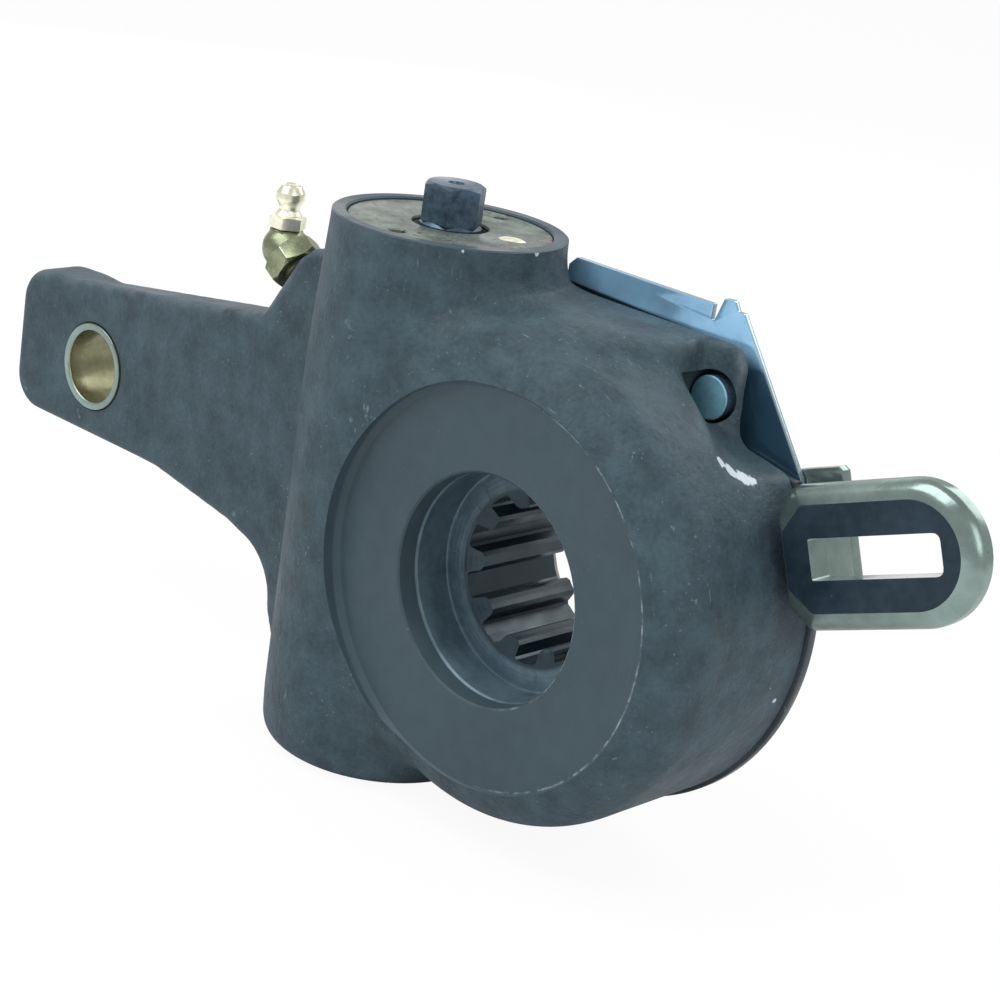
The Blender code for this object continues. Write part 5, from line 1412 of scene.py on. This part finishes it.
def floor_paint():
    """White floor that shows only a faint shadow to the camera."""
    material = bpy.data.materials.new("studio_floor")
    material.use_nodes = True
    tree = material.node_tree
    shader = tree.nodes["Principled BSDF"]
    shader.inputs["Base Color"].default_value = (0.8, 0.8, 0.8, 1)
    shader.inputs["Roughness"].default_value = 0.9
    glow = add(tree, "Emission", {"Color": WHITE, "Strength": 1})
    rays = add(tree, "LightPath")
    seen = times(tree, rays.outputs["Is Camera Ray"], 0.93)
    mixed = add(tree, "MixShader", {0: seen, 1: shader.outputs["BSDF"], 2: glow.outputs["Emission"]})
    out = tree.nodes["Material Output"]
    tree.links.new(mixed.outputs["Shader"], out.inputs["Surface"])
    return material


# Operators and panel

class ADJUSTER_OT_housing(bpy.types.Operator):
    """Make the forged and machined housing"""
    bl_idname = "adjuster.housing"
    bl_label = "Housing"

    def execute(self, context):
        make_housing()
        return {"FINISHED"}


class ADJUSTER_OT_bushing(bpy.types.Operator):
    """Make the clevis bushing"""
    bl_idname = "adjuster.bushing"
    bl_label = "Clevis bushing"

    def execute(self, context):
        make_bushing()
        return {"FINISHED"}


class ADJUSTER_OT_worm_wheel(bpy.types.Operator):
    """Make the splined hub and the tooth band of the worm wheel"""
    bl_idname = "adjuster.worm_wheel"
    bl_label = "Worm wheel"

    def execute(self, context):
        make_hub()
        return {"FINISHED"}


class ADJUSTER_OT_worm_tower(bpy.types.Operator):
    """Make the worm shaft, its hexagon, the end cap and the seal"""
    bl_idname = "adjuster.worm_tower"
    bl_label = "Worm tower"

    def execute(self, context):
        make_hexagon()
        make_cap()
        return {"FINISHED"}


class ADJUSTER_OT_rear_side(bpy.types.Operator):
    """Make the rear cover, its screws and the guard plate"""
    bl_idname = "adjuster.rear_side"
    bl_label = "Rear side"

    def execute(self, context):
        make_cover()
        make_guard_plate()
        return {"FINISHED"}


class ADJUSTER_OT_control_arm(bpy.types.Operator):
    """Make the control arm with its slotted eye"""
    bl_idname = "adjuster.control_arm"
    bl_label = "Control arm"

    def execute(self, context):
        make_control_arm()
        return {"FINISHED"}


class ADJUSTER_OT_grease_fitting(bpy.types.Operator):
    """Make the grease elbow and its nipple"""
    bl_idname = "adjuster.grease_fitting"
    bl_label = "Grease fitting"

    def execute(self, context):
        make_grease_fitting()
        return {"FINISHED"}


class ADJUSTER_OT_inner_train(bpy.types.Operator):
    """Finish the inner gear train"""
    bl_idname = "adjuster.inner_train"
    bl_label = "Inner gear train"

    def execute(self, context):
        dress_inner_train()
        return {"FINISHED"}


class ADJUSTER_OT_studio(bpy.types.Operator):
    """Set up the floor, lights and camera"""
    bl_idname = "adjuster.studio"
    bl_label = "Studio"

    def execute(self, context):
        make_studio()
        return {"FINISHED"}


STEPS = ("housing", "bushing", "worm_wheel", "worm_tower", "rear_side", "control_arm", "grease_fitting",
         "inner_train", "studio")


class ADJUSTER_PT_panel(bpy.types.Panel):
    """Lists the pieces and their settings"""
    bl_idname = "ADJUSTER_PT_panel"
    bl_label = "Slack adjuster"
    bl_space_type = "VIEW_3D"
    bl_region_type = "UI"
    bl_category = "Slack adjuster"

    def draw(self, context):
        column = self.layout.column()
        for step in STEPS:
            column.operator("adjuster." + step)
        scene = context.scene
        for group in (scene.adjuster_housing, scene.adjuster_colours, scene.adjuster_studio):
            for name in group.bl_rna.properties.keys():
                if name not in ("rna_type", "name"):
                    column.prop(group, name)


CLASSES = (HousingSizes, FinishColours, StudioSettings, ADJUSTER_OT_housing, ADJUSTER_OT_bushing,
           ADJUSTER_OT_worm_wheel, ADJUSTER_OT_worm_tower, ADJUSTER_OT_rear_side, ADJUSTER_OT_control_arm,
           ADJUSTER_OT_grease_fitting, ADJUSTER_OT_inner_train, ADJUSTER_OT_studio, ADJUSTER_PT_panel)


def register():
    for item in CLASSES:
        bpy.utils.register_class(item)
    bpy.types.Scene.adjuster_housing = bpy.props.PointerProperty(type=HousingSizes)
    bpy.types.Scene.adjuster_colours = bpy.props.PointerProperty(type=FinishColours)
    bpy.types.Scene.adjuster_studio = bpy.props.PointerProperty(type=StudioSettings)


def unregister():
    del bpy.types.Scene.adjuster_housing
    del bpy.types.Scene.adjuster_colours
    del bpy.types.Scene.adjuster_studio
    for item in reversed(CLASSES):
        bpy.utils.unregister_class(item)


def main():
    """Makes every piece."""
    register()
    for step in STEPS:
        getattr(bpy.ops.adjuster, step)()


if __name__ == "__main__":
    main()
